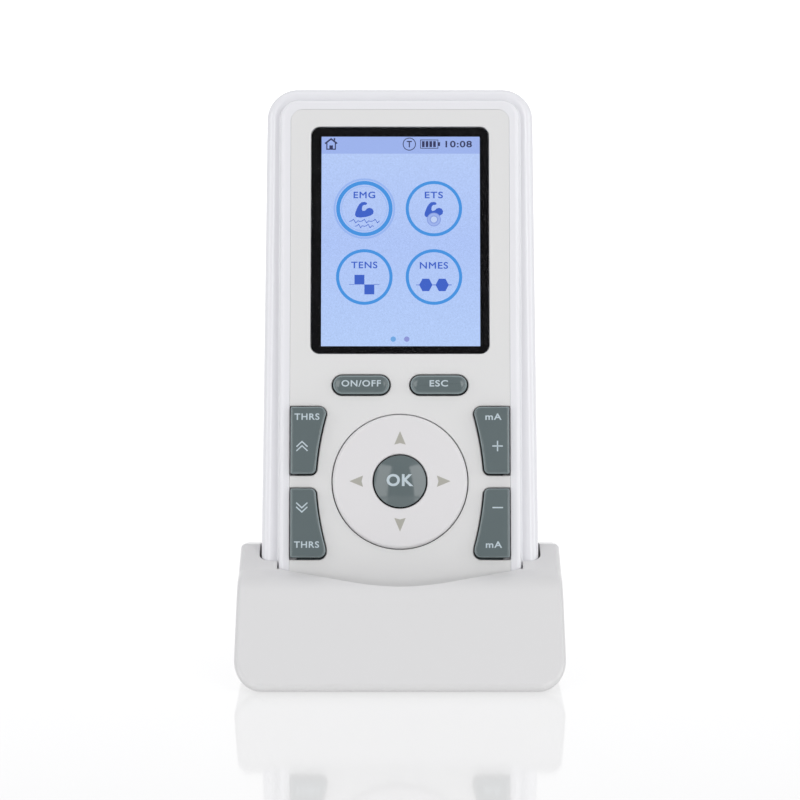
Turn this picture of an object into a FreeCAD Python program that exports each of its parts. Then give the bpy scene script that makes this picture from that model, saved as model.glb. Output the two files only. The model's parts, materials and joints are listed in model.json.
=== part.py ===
import FreeCAD, Part
import os
from math import sin, cos, tan, radians, sqrt

# A hand-held nerve and muscle stimulator that stands in its charging cradle.
# Millimetres.  +X is to the user's right, +Y to the back, +Z up.  The origin is the
# middle of the rubber mat under the cradle, at table level.
# Handset pieces are drawn in the handset's own frame and leaned back at the end:
# x across, y the depth behind the front panel's face, z the height above the foot.

V = FreeCAD.Vector

# ---- driving dimensions -------------------------------------------------------------

# how the handset stands in the cradle
LEAN = 15.76                # degrees that the handset leans back
FACE_SETBACK = 23.89        # from the cradle's toe line to the panel's plane, at table level
FOOT_RISE = 11.5            # height of the handset's foot, measured up the panel's plane
DOCK_GAP = 0.38             # handset to slot wall
DOCK_FLOOR_GAP = 0.2        # handset to slot floor

# fits used throughout
SEAM_GAP = 0.09             # between fixed pieces let into one another
KEY_GAP = 0.25              # round a key in the panel
KEY_TRAVEL = 0.5            # how far a key goes in
SCREW_CLEARANCE = 0.08      # round a screw's shank
RUNNING_CLEARANCE = 0.08    # round a hinge stub or a sprung pin

# handset casing
CASE_HEIGHT = 124.6
CASE_WIDTH_FOOT = 63.4
CASE_FLARE = 1.9            # how much wider the foot is than the top
CASE_DEPTH = 22.0
CASE_SPLIT = 11.0           # depth of the seam between the two half shells
CASE_CORNER_TOP = 7.2
CASE_CORNER_FOOT = 6.2
CASE_WALL = 1.8
SHOULDER_DEPTH = 3.0        # how far the shoulder lies behind the panel's face
SHOULDER_RADIUS = 2.2
BACK_RADIUS = 5.0

# raised plateau that frames the panel
SHOULDER_WIDTH = 3.2        # each side, at the top
PLATEAU_MARGIN_TOP = 3.35   # casing's top end to plateau
PLATEAU_MARGIN_FOOT = 3.35
PLATEAU_CORNER = 4.1
PLATEAU_EDGE_RADIUS = 1.1
PLATEAU_ROOT_RADIUS = 0.5

# front panel
PANEL_MARGIN = 2.45         # plateau's edge to panel, all round
PANEL_THICKNESS = 1.5
PANEL_CORNER = 2.6
LEDGE_WIDTH = 1.5           # shelf that the panel is glued to
LEDGE_THICKNESS = 1.5

# display
WINDOW_WIDTH = 41.0
WINDOW_HEIGHT = 53.1
WINDOW_FOOT = 61.7          # height of the window's lower edge
WINDOW_CORNER = 2.1
WINDOW_RECESS = 0.12        # glass face below the panel's face
ACTIVE_WIDTH = 36.5
ACTIVE_HEIGHT = 49.0
ACTIVE_FOOT = 63.65
ACTIVE_OFFSET = 0.15        # lit area's centre, to the right of the middle
MASK_THICKNESS = 0.25
LCD_MARGIN = 0.6            # lit glass inside the window's outline, each side
LCD_THICKNESS = 1.0
BACKLIGHT_THICKNESS = 1.1
LCD_FRAME_WIDTH = 1.3
FLEX_WIDTH = 10.0
FLEX_THICKNESS = 0.2
FLEX_LENGTH = 2.4

# round direction ring and the key in its middle
RING_HEIGHT = 32.3          # height of the ring's centre
RING_RADIUS = 15.25
RING_PROUD = 0.7
RING_EDGE_RADIUS = 0.8
RING_THICKNESS = 1.9
RING_GAP = 0.3
OK_RADIUS = 5.93
OK_DOME = 1.0
OK_STEM_RADIUS = 4.0
HUB_WALL = 1.7
HUB_RISE = 0.8
GIMBAL_THICKNESS = 0.45
GIMBAL_GAP = 0.42           # room for the ring and its gimbal to rock

# pill keys
PILL_LENGTH = 12.95
PILL_WIDTH = 4.4
PILL_HEIGHT = 54.52         # height of the two pills' centres
PILL_OFFSET = 8.85          # each pill's centre from the middle
PILL_PROUD = 1.0
PILL_EDGE_RADIUS = 0.85

# four side keys
SIDE_KEY_NEAR = 1.65        # from the ring's centre height to a side key
SIDE_KEY_FAR = 17.1
SIDE_KEY_WIDE = 16.35        # inner edge from the middle, at the wide end
SIDE_KEY_NARROW = 19.2
SIDE_KEY_CURVE = 0.5       # hollow of the inner edge
SIDE_KEY_CORNER_WIDE = 1.55
SIDE_KEY_CORNER_NARROW = 1.25
SIDE_KEY_CORNER_OUTER = 0.4
SIDE_KEY_PROUD = 1.3
SIDE_KEY_EDGE_RADIUS = 0.6
FLANGE_LIP = 0.7            # how far a key's flange reaches under the panel
FLANGE_THICKNESS = 0.7
FLANGE_GAP = 0.1

# circuit board and what is on it
BOARD_THICKNESS = 1.4
BOARD_SIDE_GAP = 0.4        # board to case bosses
BOARD_FOOT = 5.6
BOARD_TOP_MARGIN = 5.6      # casing's top end to board
BOARD_SCREW_OFFSET = 20.0
BOARD_BOSS_RADIUS = 1.6
BOARD_SCREW_RADIUS = 0.7
BOARD_SCREW_HEAD = 1.4
DOME_RADIUS = 2.0
DOME_RISE = 0.6
DOME_GAP = 0.5              # arrow domes to the gimbal
KEYPAD_THICKNESS = 0.3
CHIP_SIZE = 10.0
CHIP_THICKNESS = 1.2
TRANSFORMER_WIDTH = 11.0
TRANSFORMER_LENGTH = 9.0
TRANSFORMER_RISE = 6.0
CAPACITOR_RADIUS = 2.4
CAPACITOR_RISE = 6.2
BUZZER_RADIUS = 5.0
BUZZER_RISE = 4.0

# lead sockets in the top end
LEAD_SPACING = 26.0
LEAD_DEPTH = 11.0           # depth of the sockets' axes behind the panel's face
LEAD_BORE_RADIUS = 1.3
LEAD_BORE_LENGTH = 12.0
LEAD_NOSE_RADIUS = 3.2
LEAD_BLOCK_WIDTH = 9.0
LEAD_BLOCK_LENGTH = 13.0
LEAD_NOSE_RECESS = 0.3

# case screws
CASE_SCREW_INSET = 4.45     # screw axes inside the casing's top width
CASE_SCREW_FOOT = 14.0
CASE_SCREW_TOP_MARGIN = 14.6
CASE_BOSS_RADIUS = 3.1
CASE_SCREW_RADIUS = 0.9
CASE_SCREW_HEAD = 1.9
CASE_SCREW_SEAT = 16.0      # depth at which the screw heads bear
CASE_SCREW_HEAD_RISE = 1.6

# battery, its compartment and door
DOOR_WIDTH = 38.0
DOOR_FOOT = 33.0            # height of the hinge axis
DOOR_TOP = 84.0
DOOR_THICKNESS = 1.6
DOOR_GAP = 0.3
DOOR_CORNER = 2.0
HINGE_RADIUS = 1.1
HINGE_STUB_RADIUS = 0.6
HINGE_STUB_LENGTH = 1.0
DOOR_SCREW_HEIGHT = 79.5
DOOR_SCREW_RADIUS = 1.0
DOOR_SCREW_HEAD = 2.3
DOOR_SCREW_LENGTH = 4.0
DOOR_SCREW_SWING = 0.3      # room that the shank needs as the door swings
DOOR_BOSS_RADIUS = 3.0
TRAY_WALL = 1.5
TRAY_FLOOR = 12.5           # depth of the compartment floor's front face
BATTERY_WIDTH = 35.0
BATTERY_LENGTH = 38.0
BATTERY_THICKNESS = 5.9
BATTERY_GAP = 0.3
BATTERY_CORNER = 1.5
CONTACT_STRIP = 1.4         # room for the battery's contacts, along the compartment

# charging contacts
CONTACT_SPACING = 10.0
CONTACT_DEPTH = 7.0         # behind the panel's face
PAD_RADIUS = 1.6
PAD_RECESS = 0.3
PAD_FLANGE = 0.6
PIN_RADIUS = 0.9
PIN_COLLAR_RADIUS = 1.4
PIN_COLLAR_THICKNESS = 0.6
PIN_GAP = 0.05              # pin tip to pad
BLOCK_WIDTH = 17.0
BLOCK_DEPTH = 6.0
BLOCK_HEIGHT = 3.4
CRADLE_BOARD_THICKNESS = 1.0
CRADLE_BOARD_WIDTH = 22.0
CRADLE_BOARD_DEPTH = 8.0

# cradle
CRADLE_DEPTH = 73.3         # toe line to heel line at table level
CRADLE_TOE_SHIFT = 1.29     # the mat's middle, behind the middle of that depth
EAR_WALL = 5.15             # handset to the cradle's side, at the base
CRADLE_DRAFT = 0.6          # how much narrower the cradle is at the top
CRADLE_BOTTOM_CORNER = 6.2
CRADLE_WALL = 2.2
CRADLE_EDGE_RADIUS = 1.2
LIP_SETBACK = 21.24         # toe line to where front slope and lip meet
LIP_HEIGHT = 21.8
LIP_RADIUS = 15.0
CREASE_SETBACK = 29.5
CREASE_HEIGHT = 22.9
CREASE_RADIUS = 2.5
EAR_SETBACK = 41.24
EAR_HEIGHT = 26.9
EAR_RADIUS = 3.0
REAR_RUN = 10.3             # how far the rear slope leans in from the heel line
REAR_HEIGHT = 23.6
REAR_RADIUS = 6.0
SLOT_WALL = 1.6
SCOOP_RADIUS = 49.4
SCOOP_REACH = 8.5           # finger scoop, in front of the panel's plane
SCOOP_FLOOR = 2.0           # height above the handset's foot
MAT_PROUD = 0.3             # underside of the cradle above the table
MAT_MARGIN_X = 4.0
MAT_MARGIN_Y = 5.0
MAT_SHEET = 1.0
BASE_MARGIN_X = 6.95        # base plate inside the cradle's outline
BASE_MARGIN_Y = 6.65
BASE_THICKNESS = 1.7
BASE_CORNER = 4.0
BASE_LEDGE = 1.2
BASE_SCREW_INSET_X = 2.6
BASE_SCREW_INSET_Y = 4.5
BASE_BOSS_RADIUS = 2.4
BASE_SCREW_RADIUS = 0.9
BASE_SCREW_HEAD = 1.7
BASE_SCREW_HEAD_RISE = 0.8
BASE_SCREW_LENGTH = 5.0
BALLAST_WIDTH = 40.0
BALLAST_DEPTH = 14.0
BALLAST_THICKNESS = 2.0
BALLAST_SETBACK = 17.94     # toe line to the ballast's middle
INLET_WIDTH = 9.0
INLET_HEIGHT = 8.5
INLET_LENGTH = 10.5
INLET_NOSE_RADIUS = 3.2
INLET_NOSE_LENGTH = 6.0
INLET_BORE_RADIUS = 1.9
INLET_BORE_LENGTH = 9.0
INLET_PIN_RADIUS = 0.6
INLET_SETBACK = 2.76        # heel line to the socket's mouth
INLET_RECESS = 0.6
INLET_RECESS_RIM = 1.4

# ---- what follows from them ---------------------------------------------------------

CASE_WIDTH_TOP = CASE_WIDTH_FOOT - CASE_FLARE
PLATEAU_WIDTH = CASE_WIDTH_TOP - 2 * SHOULDER_WIDTH
PANEL_WIDTH = PLATEAU_WIDTH - 2 * PANEL_MARGIN
PLATEAU_FOOT = PLATEAU_MARGIN_FOOT
PLATEAU_TOP = CASE_HEIGHT - PLATEAU_MARGIN_TOP
PANEL_FOOT = PLATEAU_FOOT + PANEL_MARGIN
PANEL_TOP = PLATEAU_TOP - PANEL_MARGIN
LEDGE_FACE = PANEL_THICKNESS + 0.05
LEDGE_BACK = LEDGE_FACE + LEDGE_THICKNESS
WINDOW_TOP = WINDOW_FOOT + WINDOW_HEIGHT
FLANGE_FACE = PANEL_THICKNESS + FLANGE_GAP
FLANGE_BACK = FLANGE_FACE + FLANGE_THICKNESS
WINDOW_THICKNESS = PANEL_THICKNESS - WINDOW_RECESS - MASK_THICKNESS
BOARD_FACE = PANEL_THICKNESS + LCD_THICKNESS + BACKLIGHT_THICKNESS
BOARD_BACK = BOARD_FACE + BOARD_THICKNESS
CASE_SCREW_OFFSET = CASE_WIDTH_TOP / 2 - CASE_SCREW_INSET
CASE_SCREW_TOP = CASE_HEIGHT - CASE_SCREW_TOP_MARGIN
BOARD_WIDTH = 2 * (CASE_SCREW_OFFSET - CASE_BOSS_RADIUS - BOARD_SIDE_GAP)
BOARD_TOP = CASE_HEIGHT - BOARD_TOP_MARGIN
DOOR_FACE = CASE_DEPTH - DOOR_THICKNESS
TRAY_BACK = CASE_DEPTH - CASE_WALL
HINGE_DEPTH = CASE_DEPTH - HINGE_RADIUS
SHELL_UNDERSIDE = MAT_PROUD
BASE_TOP = SHELL_UNDERSIDE + BASE_THICKNESS
CRADLE_TOE = -CRADLE_DEPTH / 2 - CRADLE_TOE_SHIFT
CRADLE_HEEL = CRADLE_TOE + CRADLE_DEPTH
REAR_SETBACK = CRADLE_DEPTH - REAR_RUN
CRADLE_WIDTH_BASE = CASE_WIDTH_FOOT + 2 * EAR_WALL
CRADLE_WIDTH_TOP = CRADLE_WIDTH_BASE - CRADLE_DRAFT
BASE_WIDTH = CRADLE_WIDTH_BASE - 2 * BASE_MARGIN_X
BASE_DEPTH = CRADLE_DEPTH - 2 * BASE_MARGIN_Y
MAT_WIDTH = BASE_WIDTH - 2 * MAT_MARGIN_X
MAT_DEPTH = BASE_DEPTH - 2 * MAT_MARGIN_Y
BASE_SCREW_X = BASE_WIDTH / 2 - BASE_SCREW_INSET_X
BASE_SCREW_Y = BASE_DEPTH / 2 - BASE_SCREW_INSET_Y
INLET_REACH = CRADLE_HEEL - INLET_SETBACK
SLOT_FLOOR_UNDERSIDE = -DOCK_FLOOR_GAP - SLOT_WALL
RING_BACK = RING_THICKNESS - RING_PROUD
HUB_BACK = RING_BACK + HUB_RISE
HUB_RADIUS = OK_RADIUS + KEY_GAP + HUB_WALL
GIMBAL_FACE = HUB_BACK + GIMBAL_GAP

# ---- small tools --------------------------------------------------------------------


def box(x0, x1, y0, y1, z0, z1):
    """A block between two corners."""
    return Part.makeBox(x1 - x0, y1 - y0, z1 - z0, V(x0, y0, z0))


def rod(x, z, radius, y0, y1):
    """A cylinder along the depth of the handset."""
    return Part.makeCylinder(radius, y1 - y0, V(x, y0, z), V(0, 1, 0))


def upright(x, y, radius, z0, z1):
    """A cylinder along Z."""
    return Part.makeCylinder(radius, z1 - z0, V(x, y, z0), V(0, 0, 1))


def rounded_wire(corners, to_point):
    """A closed outline from (a, b, radius) corners, with an arc at each rounded one."""
    spots = []
    count = len(corners)
    for i in range(count):
        a, b, radius = corners[i]
        here = FreeCAD.Vector(a, b, 0)
        before = FreeCAD.Vector(*corners[i - 1][:2], 0) - here
        after = FreeCAD.Vector(*corners[(i + 1) % count][:2], 0) - here
        if radius == 0:
            spots.append((here,))
            continue
        before.normalize()
        after.normalize()
        half = before.getAngle(after) / 2
        reach = radius / tan(half)
        inward = (before + after).normalize()
        middle = here + inward * (radius / sin(half) - radius)
        spots.append((here + before * reach, middle, here + after * reach))
    edges = []
    for i in range(count):
        flat = [to_point(p.x, p.y) for p in spots[i]]
        if len(flat) == 3:
            edges.append(Part.Arc(*flat).toShape())
        following = spots[(i + 1) % count][0]
        start, end = flat[-1], to_point(following.x, following.y)
        if start.distanceToPoint(end) > 1e-6:
            edges.append(Part.LineSegment(start, end).toShape())
    return Part.Wire(edges)


def front_plate(corners, y0, y1):
    """An outline seen from the front, given a depth from y0 to y1."""
    wire = rounded_wire(corners, lambda a, b: V(a, y0, b))
    return Part.Face(wire).extrude(V(0, y1 - y0, 0))


def rectangle(width, z0, z1, radius, grow=0.0):
    """Corners of an upright rectangle about x = 0, grown by the same amount all round."""
    half = width / 2 + grow
    turn = max(radius + grow, 0)
    return [(-half, z0 - grow, turn), (half, z0 - grow, turn),
            (half, z1 + grow, turn), (-half, z1 + grow, turn)]


def case_outline(grow=0.0):
    """Corners of the casing's slightly flared outline."""
    foot = CASE_WIDTH_FOOT / 2 + grow
    top = CASE_WIDTH_TOP / 2 + grow
    low = CASE_CORNER_FOOT + grow
    high = CASE_CORNER_TOP + grow
    return [(-foot, -grow, low), (foot, -grow, low),
            (top, CASE_HEIGHT + grow, high), (-top, CASE_HEIGHT + grow, high)]


def round_edges(solid, radius, wanted):
    """Fillet the edges whose middle point passes the test."""
    chosen = [e for e in solid.Edges if wanted(e)]
    return solid.makeFillet(radius, chosen)


def edges_at_depth(y):
    """A test for edges that lie in the plane at depth y."""
    return lambda e: abs(e.BoundBox.YMin - y) < 1e-4 and abs(e.BoundBox.YMax - y) < 1e-4


def edge_at(x, z):
    """A test for the edge that runs along the depth at (x, z)."""
    def test(e):
        b = e.BoundBox
        flat = b.XLength < 1e-3 and b.ZLength < 1e-3
        return flat and abs(b.XMin - x) < 1e-3 and abs(b.ZMin - z) < 1e-3
    return test


HANDSET_PLACE = FreeCAD.Placement(
    V(0, CRADLE_TOE + FACE_SETBACK + FOOT_RISE * sin(radians(LEAN)), FOOT_RISE * cos(radians(LEAN))),
    FreeCAD.Rotation(V(1, 0, 0), -LEAN))


def lean(solid):
    """Stand a piece drawn in the handset's frame up in the cradle."""
    return solid.transformed(HANDSET_PLACE.toMatrix(), True)


def save(node, solid):
    """Write one sub-part."""
    solid.exportStep("parts/" + node + ".step")


def save_handset(node, *solids):
    """Write one sub-part of the handset, alone or as a group of like pieces."""
    placed = [lean(s) for s in solids]
    save(node, placed[0] if len(placed) == 1 else Part.makeCompound(placed))


# ---- keys: one description serves the key, its hole and its flange --------------------


def side_key_plate(grow, y0, y1, outer):
    """The upper left key's outline, with its outer edge at x = -outer."""
    low = RING_HEIGHT + SIDE_KEY_NEAR - grow
    high = RING_HEIGHT + SIDE_KEY_FAR + grow
    narrow = V(-SIDE_KEY_NARROW + grow, y0, low)
    wide = V(-SIDE_KEY_WIDE + grow, y0, high)
    belly = V((narrow.x + wide.x) / 2 - SIDE_KEY_CURVE, y0, (low + high) / 2)
    outer_low = V(-outer, y0, low)
    outer_high = V(-outer, y0, high)
    wire = Part.Wire([
        Part.LineSegment(outer_low, narrow).toShape(),
        Part.Arc(narrow, belly, wide).toShape(),
        Part.LineSegment(wide, outer_high).toShape(),
        Part.LineSegment(outer_high, outer_low).toShape()])
    plate = Part.Face(wire).extrude(V(0, y1 - y0, 0))
    plate = round_edges(plate, SIDE_KEY_CORNER_WIDE + grow, edge_at(wide.x, wide.z))
    return round_edges(plate, SIDE_KEY_CORNER_NARROW + grow, edge_at(narrow.x, narrow.z))


def side_key():
    """Upper left key: crowned cap, neck and the flange that keeps it behind the panel."""
    outer = PANEL_WIDTH / 2 - KEY_GAP + SEAM_GAP
    inner_limit = PANEL_WIDTH / 2 + SEAM_GAP - LEDGE_WIDTH - KEY_GAP
    cap_back = LEDGE_FACE - KEY_TRAVEL - FLANGE_GAP
    cap = side_key_plate(0, -SIDE_KEY_PROUD, cap_back, outer)
    for z in (RING_HEIGHT + SIDE_KEY_NEAR, RING_HEIGHT + SIDE_KEY_FAR):
        cap = round_edges(cap, SIDE_KEY_CORNER_OUTER, edge_at(-outer, z))
    cap = round_edges(cap, SIDE_KEY_EDGE_RADIUS, edges_at_depth(-SIDE_KEY_PROUD))
    neck = side_key_plate(0, cap_back - 0.2, FLANGE_FACE + 0.2, inner_limit)
    flange = side_key_plate(FLANGE_LIP, FLANGE_FACE, FLANGE_BACK, inner_limit)
    return cap.fuse([neck, flange]).removeSplitter()


def to_all_four(solid):
    """A shape drawn for the upper left key, turned to each of the four side keys."""
    across = solid.mirror(V(0, 0, 0), V(1, 0, 0))
    middle = V(0, 0, RING_HEIGHT)
    return {"threshold_up_key": solid, "current_up_key": across,
            "threshold_down_key": solid.mirror(middle, V(0, 0, 1)),
            "current_down_key": across.mirror(middle, V(0, 0, 1))}


def pill_corners(x, grow):
    """Corners of a pill whose ends are full half circles."""
    half_length = PILL_LENGTH / 2 + grow
    half_width = PILL_WIDTH / 2 + grow
    turn = half_width - 0.01
    return [(x - half_length, PILL_HEIGHT - half_width, turn),
            (x + half_length, PILL_HEIGHT - half_width, turn),
            (x + half_length, PILL_HEIGHT + half_width, turn),
            (x - half_length, PILL_HEIGHT + half_width, turn)]


def pill_key(x):
    """ON/OFF or escape key: a domed pill with a flange behind the panel."""
    cap = front_plate(pill_corners(x, 0), -PILL_PROUD, FLANGE_FACE + 0.2)
    cap = round_edges(cap, PILL_EDGE_RADIUS, edges_at_depth(-PILL_PROUD))
    flange = front_plate(pill_corners(x, FLANGE_LIP), FLANGE_FACE, FLANGE_BACK)
    return cap.fuse(flange).removeSplitter()


def ok_key():
    """Round key with a shallow dome, on a stem."""
    ball = (OK_RADIUS ** 2 + OK_DOME ** 2) / (2 * OK_DOME)
    cap = rod(0, RING_HEIGHT, OK_RADIUS, -OK_DOME - RING_PROUD, RING_BACK)
    cap = cap.common(Part.makeSphere(ball, V(0, ball - OK_DOME - RING_PROUD, RING_HEIGHT)))
    stem = rod(0, RING_HEIGHT, OK_STEM_RADIUS, RING_BACK - 0.2, FLANGE_BACK)
    return cap.fuse(stem).removeSplitter()


def direction_ring():
    """Flat ring with rounded rims, and the hub that rocks on the gimbal."""
    hole = OK_RADIUS + KEY_GAP
    ring = rod(0, RING_HEIGHT, RING_RADIUS, -RING_PROUD, RING_BACK)
    ring = round_edges(ring, RING_EDGE_RADIUS, edges_at_depth(-RING_PROUD))
    hub = rod(0, RING_HEIGHT, HUB_RADIUS, RING_BACK - 0.2, HUB_BACK)
    ring = ring.fuse(hub).cut(rod(0, RING_HEIGHT, hole, -RING_PROUD - 1, HUB_BACK + 1))
    inner_rim = lambda e: edges_at_depth(-RING_PROUD)(e) and e.BoundBox.XLength < 2 * hole + 0.1
    return round_edges(ring.removeSplitter(), RING_EDGE_RADIUS / 2, inner_rim)


def ring_pivot():
    """Thin gimbal ring between the direction ring and the board."""
    outer = rod(0, RING_HEIGHT, HUB_RADIUS, GIMBAL_FACE, GIMBAL_FACE + GIMBAL_THICKNESS)
    return outer.cut(rod(0, RING_HEIGHT, OK_STEM_RADIUS + 2 * KEY_GAP, 0, CASE_SPLIT))


def dome_places():
    """Where each switch dome sits, as (x, z)."""
    side_x = (SIDE_KEY_WIDE + PANEL_WIDTH / 2) / 2
    side_z = (SIDE_KEY_NEAR + SIDE_KEY_FAR) / 2
    arrow = HUB_RADIUS + DOME_GAP + DOME_RADIUS
    places = [(0, RING_HEIGHT), (-PILL_OFFSET, PILL_HEIGHT), (PILL_OFFSET, PILL_HEIGHT)]
    places += [(0, RING_HEIGHT + arrow), (0, RING_HEIGHT - arrow)]
    places += [(arrow, RING_HEIGHT), (-arrow, RING_HEIGHT)]
    places += [(i * side_x, RING_HEIGHT + j * side_z) for i in (-1, 1) for j in (-1, 1)]
    return places


# ---- handset: shells ------------------------------------------------------------------


def case_screw_places():
    """Where the four case screws stand, as (x, z)."""
    return [(i * CASE_SCREW_OFFSET, z) for i in (-1, 1) for z in (CASE_SCREW_FOOT, CASE_SCREW_TOP)]


def board_screw_places():
    """Where the four board screws stand, as (x, z), over the panel's ledge."""
    z_foot = PANEL_FOOT + LEDGE_WIDTH
    z_top = PANEL_TOP - LEDGE_WIDTH
    return [(i * BOARD_SCREW_OFFSET, z) for i in (-1, 1) for z in (z_foot, z_top)]


def lead_places():
    """The x of each lead socket."""
    return {"lead_socket_left": -LEAD_SPACING / 2, "lead_socket_right": LEAD_SPACING / 2}


def end_rod(x, y, radius, z0, z1):
    """A cylinder along the handset's length."""
    return Part.makeCylinder(radius, z1 - z0, V(x, y, z0), V(0, 0, 1))


def front_shell():
    """Front half: flared casing, raised plateau, panel ledge and screw bosses."""
    casing = front_plate(case_outline(), SHOULDER_DEPTH, CASE_SPLIT)
    casing = round_edges(casing, SHOULDER_RADIUS, edges_at_depth(SHOULDER_DEPTH))
    plateau = front_plate(rectangle(PLATEAU_WIDTH, PLATEAU_FOOT, PLATEAU_TOP, PLATEAU_CORNER),
                          0, SHOULDER_DEPTH + CASE_WALL)
    plateau = round_edges(plateau, PLATEAU_EDGE_RADIUS, edges_at_depth(0))
    shell = casing.fuse(plateau).removeSplitter()
    half = PLATEAU_WIDTH / 2 + 0.1
    root = lambda e: edges_at_depth(SHOULDER_DEPTH)(e) and abs(e.CenterOfMass.x) < half \
        and PLATEAU_FOOT - 0.1 < e.CenterOfMass.z < PLATEAU_TOP + 0.1
    shell = round_edges(shell, PLATEAU_ROOT_RADIUS, root)
    # hollow it: under the shoulder, under the plateau, and through the panel's opening
    shell = shell.cut(front_plate(case_outline(-CASE_WALL), SHOULDER_DEPTH + CASE_WALL, CASE_SPLIT + 1))
    shell = shell.cut(front_plate(
        rectangle(PLATEAU_WIDTH, PLATEAU_FOOT, PLATEAU_TOP, PLATEAU_CORNER, -CASE_WALL),
        LEDGE_BACK, CASE_SPLIT + 1))
    seat = rectangle(PANEL_WIDTH, PANEL_FOOT, PANEL_TOP, PANEL_CORNER, SEAM_GAP)
    shell = shell.cut(front_plate(seat, -1, LEDGE_FACE))
    opening = rectangle(PANEL_WIDTH, PANEL_FOOT, PANEL_TOP, PANEL_CORNER, SEAM_GAP - LEDGE_WIDTH)
    shell = shell.cut(front_plate(opening, -1, CASE_SPLIT))
    bosses = [rod(x, z, CASE_BOSS_RADIUS, SHOULDER_DEPTH + 1, CASE_SPLIT) for x, z in case_screw_places()]
    bosses += [rod(x, z, BOARD_BOSS_RADIUS, LEDGE_FACE + 0.5, BOARD_FACE) for x, z in board_screw_places()]
    inside = front_plate(case_outline(-0.5), 0, CASE_SPLIT)
    shell = shell.fuse([b.common(inside) for b in bosses])
    shell = shell.cut([rod(x, z, CASE_SCREW_RADIUS + SCREW_CLEARANCE, SHOULDER_DEPTH + 2.5, CASE_SPLIT + 1)
                       for x, z in case_screw_places()])
    shell = shell.cut([rod(x, z, BOARD_SCREW_RADIUS + SCREW_CLEARANCE, LEDGE_FACE + 0.8, BOARD_FACE + 1)
                       for x, z in board_screw_places()])
    shell = shell.cut([end_rod(x, LEAD_DEPTH, LEAD_NOSE_RADIUS + SEAM_GAP, CASE_HEIGHT - 8, CASE_HEIGHT + 1)
                       for x in lead_places().values()])
    shell = shell.cut([end_rod(x, CONTACT_DEPTH, PAD_RADIUS + SEAM_GAP, -1, CASE_WALL + 1)
                       for x in (-CONTACT_SPACING / 2, CONTACT_SPACING / 2)])
    return shell.removeSplitter()


def rear_shell():
    """Rear half: rounded back, battery compartment, door recess and screw bosses."""
    shell = front_plate(case_outline(), CASE_SPLIT + SEAM_GAP / 2, CASE_DEPTH)
    shell = round_edges(shell, BACK_RADIUS, edges_at_depth(CASE_DEPTH))
    hollow = front_plate(case_outline(-CASE_WALL), CASE_SPLIT - 1, TRAY_BACK)
    hollow = round_edges(hollow, BACK_RADIUS - CASE_WALL, edges_at_depth(TRAY_BACK))
    inside = shell.copy()
    shell = shell.cut(hollow)
    half = DOOR_WIDTH / 2 + DOOR_GAP
    recess_foot = DOOR_FOOT - HINGE_RADIUS - DOOR_GAP
    recess_top = DOOR_TOP + DOOR_GAP
    bay_foot = DOOR_FOOT + HINGE_RADIUS + DOOR_GAP
    bay_top = bay_foot + TRAY_WALL + CONTACT_STRIP + BATTERY_LENGTH + 2 * BATTERY_GAP
    tray = box(-half - TRAY_WALL, half + TRAY_WALL, TRAY_FLOOR, TRAY_BACK + 0.5,
               recess_foot - TRAY_WALL, bay_top + TRAY_WALL)
    shelf = box(-half - TRAY_WALL, half + TRAY_WALL, TRAY_BACK - CASE_WALL, TRAY_BACK + 0.5,
                bay_top, recess_top + TRAY_WALL)
    shell = shell.fuse([tray, shelf, rod(0, DOOR_SCREW_HEIGHT, DOOR_BOSS_RADIUS, TRAY_FLOOR, TRAY_BACK)])
    bosses = [rod(x, z, CASE_BOSS_RADIUS, CASE_SPLIT + SEAM_GAP / 2, CASE_DEPTH)
              for x, z in case_screw_places()]
    shell = shell.fuse([b.common(inside) for b in bosses])
    # door recess, hinge trough and battery bay
    recess = front_plate([(-half, recess_foot, 0), (half, recess_foot, 0),
                          (half, recess_top, DOOR_CORNER + DOOR_GAP),
                          (-half, recess_top, DOOR_CORNER + DOOR_GAP)], DOOR_FACE - 0.2, CASE_DEPTH + 1)
    trough = box(-half, half, HINGE_DEPTH - HINGE_RADIUS - DOOR_GAP, CASE_DEPTH + 1,
                 recess_foot, DOOR_FOOT + HINGE_RADIUS + DOOR_GAP)
    bay = box(-BATTERY_WIDTH / 2 - BATTERY_GAP, BATTERY_WIDTH / 2 + BATTERY_GAP,
              TRAY_FLOOR + TRAY_WALL, CASE_DEPTH, bay_foot + TRAY_WALL, bay_top)
    stub = HINGE_STUB_RADIUS + RUNNING_CLEARANCE
    stub_reach = DOOR_WIDTH / 2 + HINGE_STUB_LENGTH + DOOR_GAP / 2
    sockets = Part.makeCylinder(stub, 2 * stub_reach, V(-stub_reach, HINGE_DEPTH, DOOR_FOOT), V(1, 0, 0))
    shank = rod(0, DOOR_SCREW_HEIGHT, DOOR_SCREW_RADIUS + DOOR_SCREW_SWING,
                DOOR_FACE - DOOR_SCREW_LENGTH - 0.6, CASE_DEPTH)
    shell = shell.cut([recess, trough, bay, sockets, shank])
    # countersunk ways for the case screws
    shell = shell.cut([rod(x, z, CASE_SCREW_HEAD + 0.2, CASE_SCREW_SEAT, CASE_DEPTH + 1)
                       for x, z in case_screw_places()])
    shell = shell.cut([rod(x, z, CASE_SCREW_RADIUS + SCREW_CLEARANCE, 0, CASE_SCREW_SEAT + 1)
                       for x, z in case_screw_places()])
    shell = shell.cut([end_rod(x, LEAD_DEPTH, LEAD_NOSE_RADIUS + SEAM_GAP, CASE_HEIGHT - 8, CASE_HEIGHT + 1)
                       for x in lead_places().values()])
    return shell.removeSplitter()


# ---- handset: front panel and display ---------------------------------------------------


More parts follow.
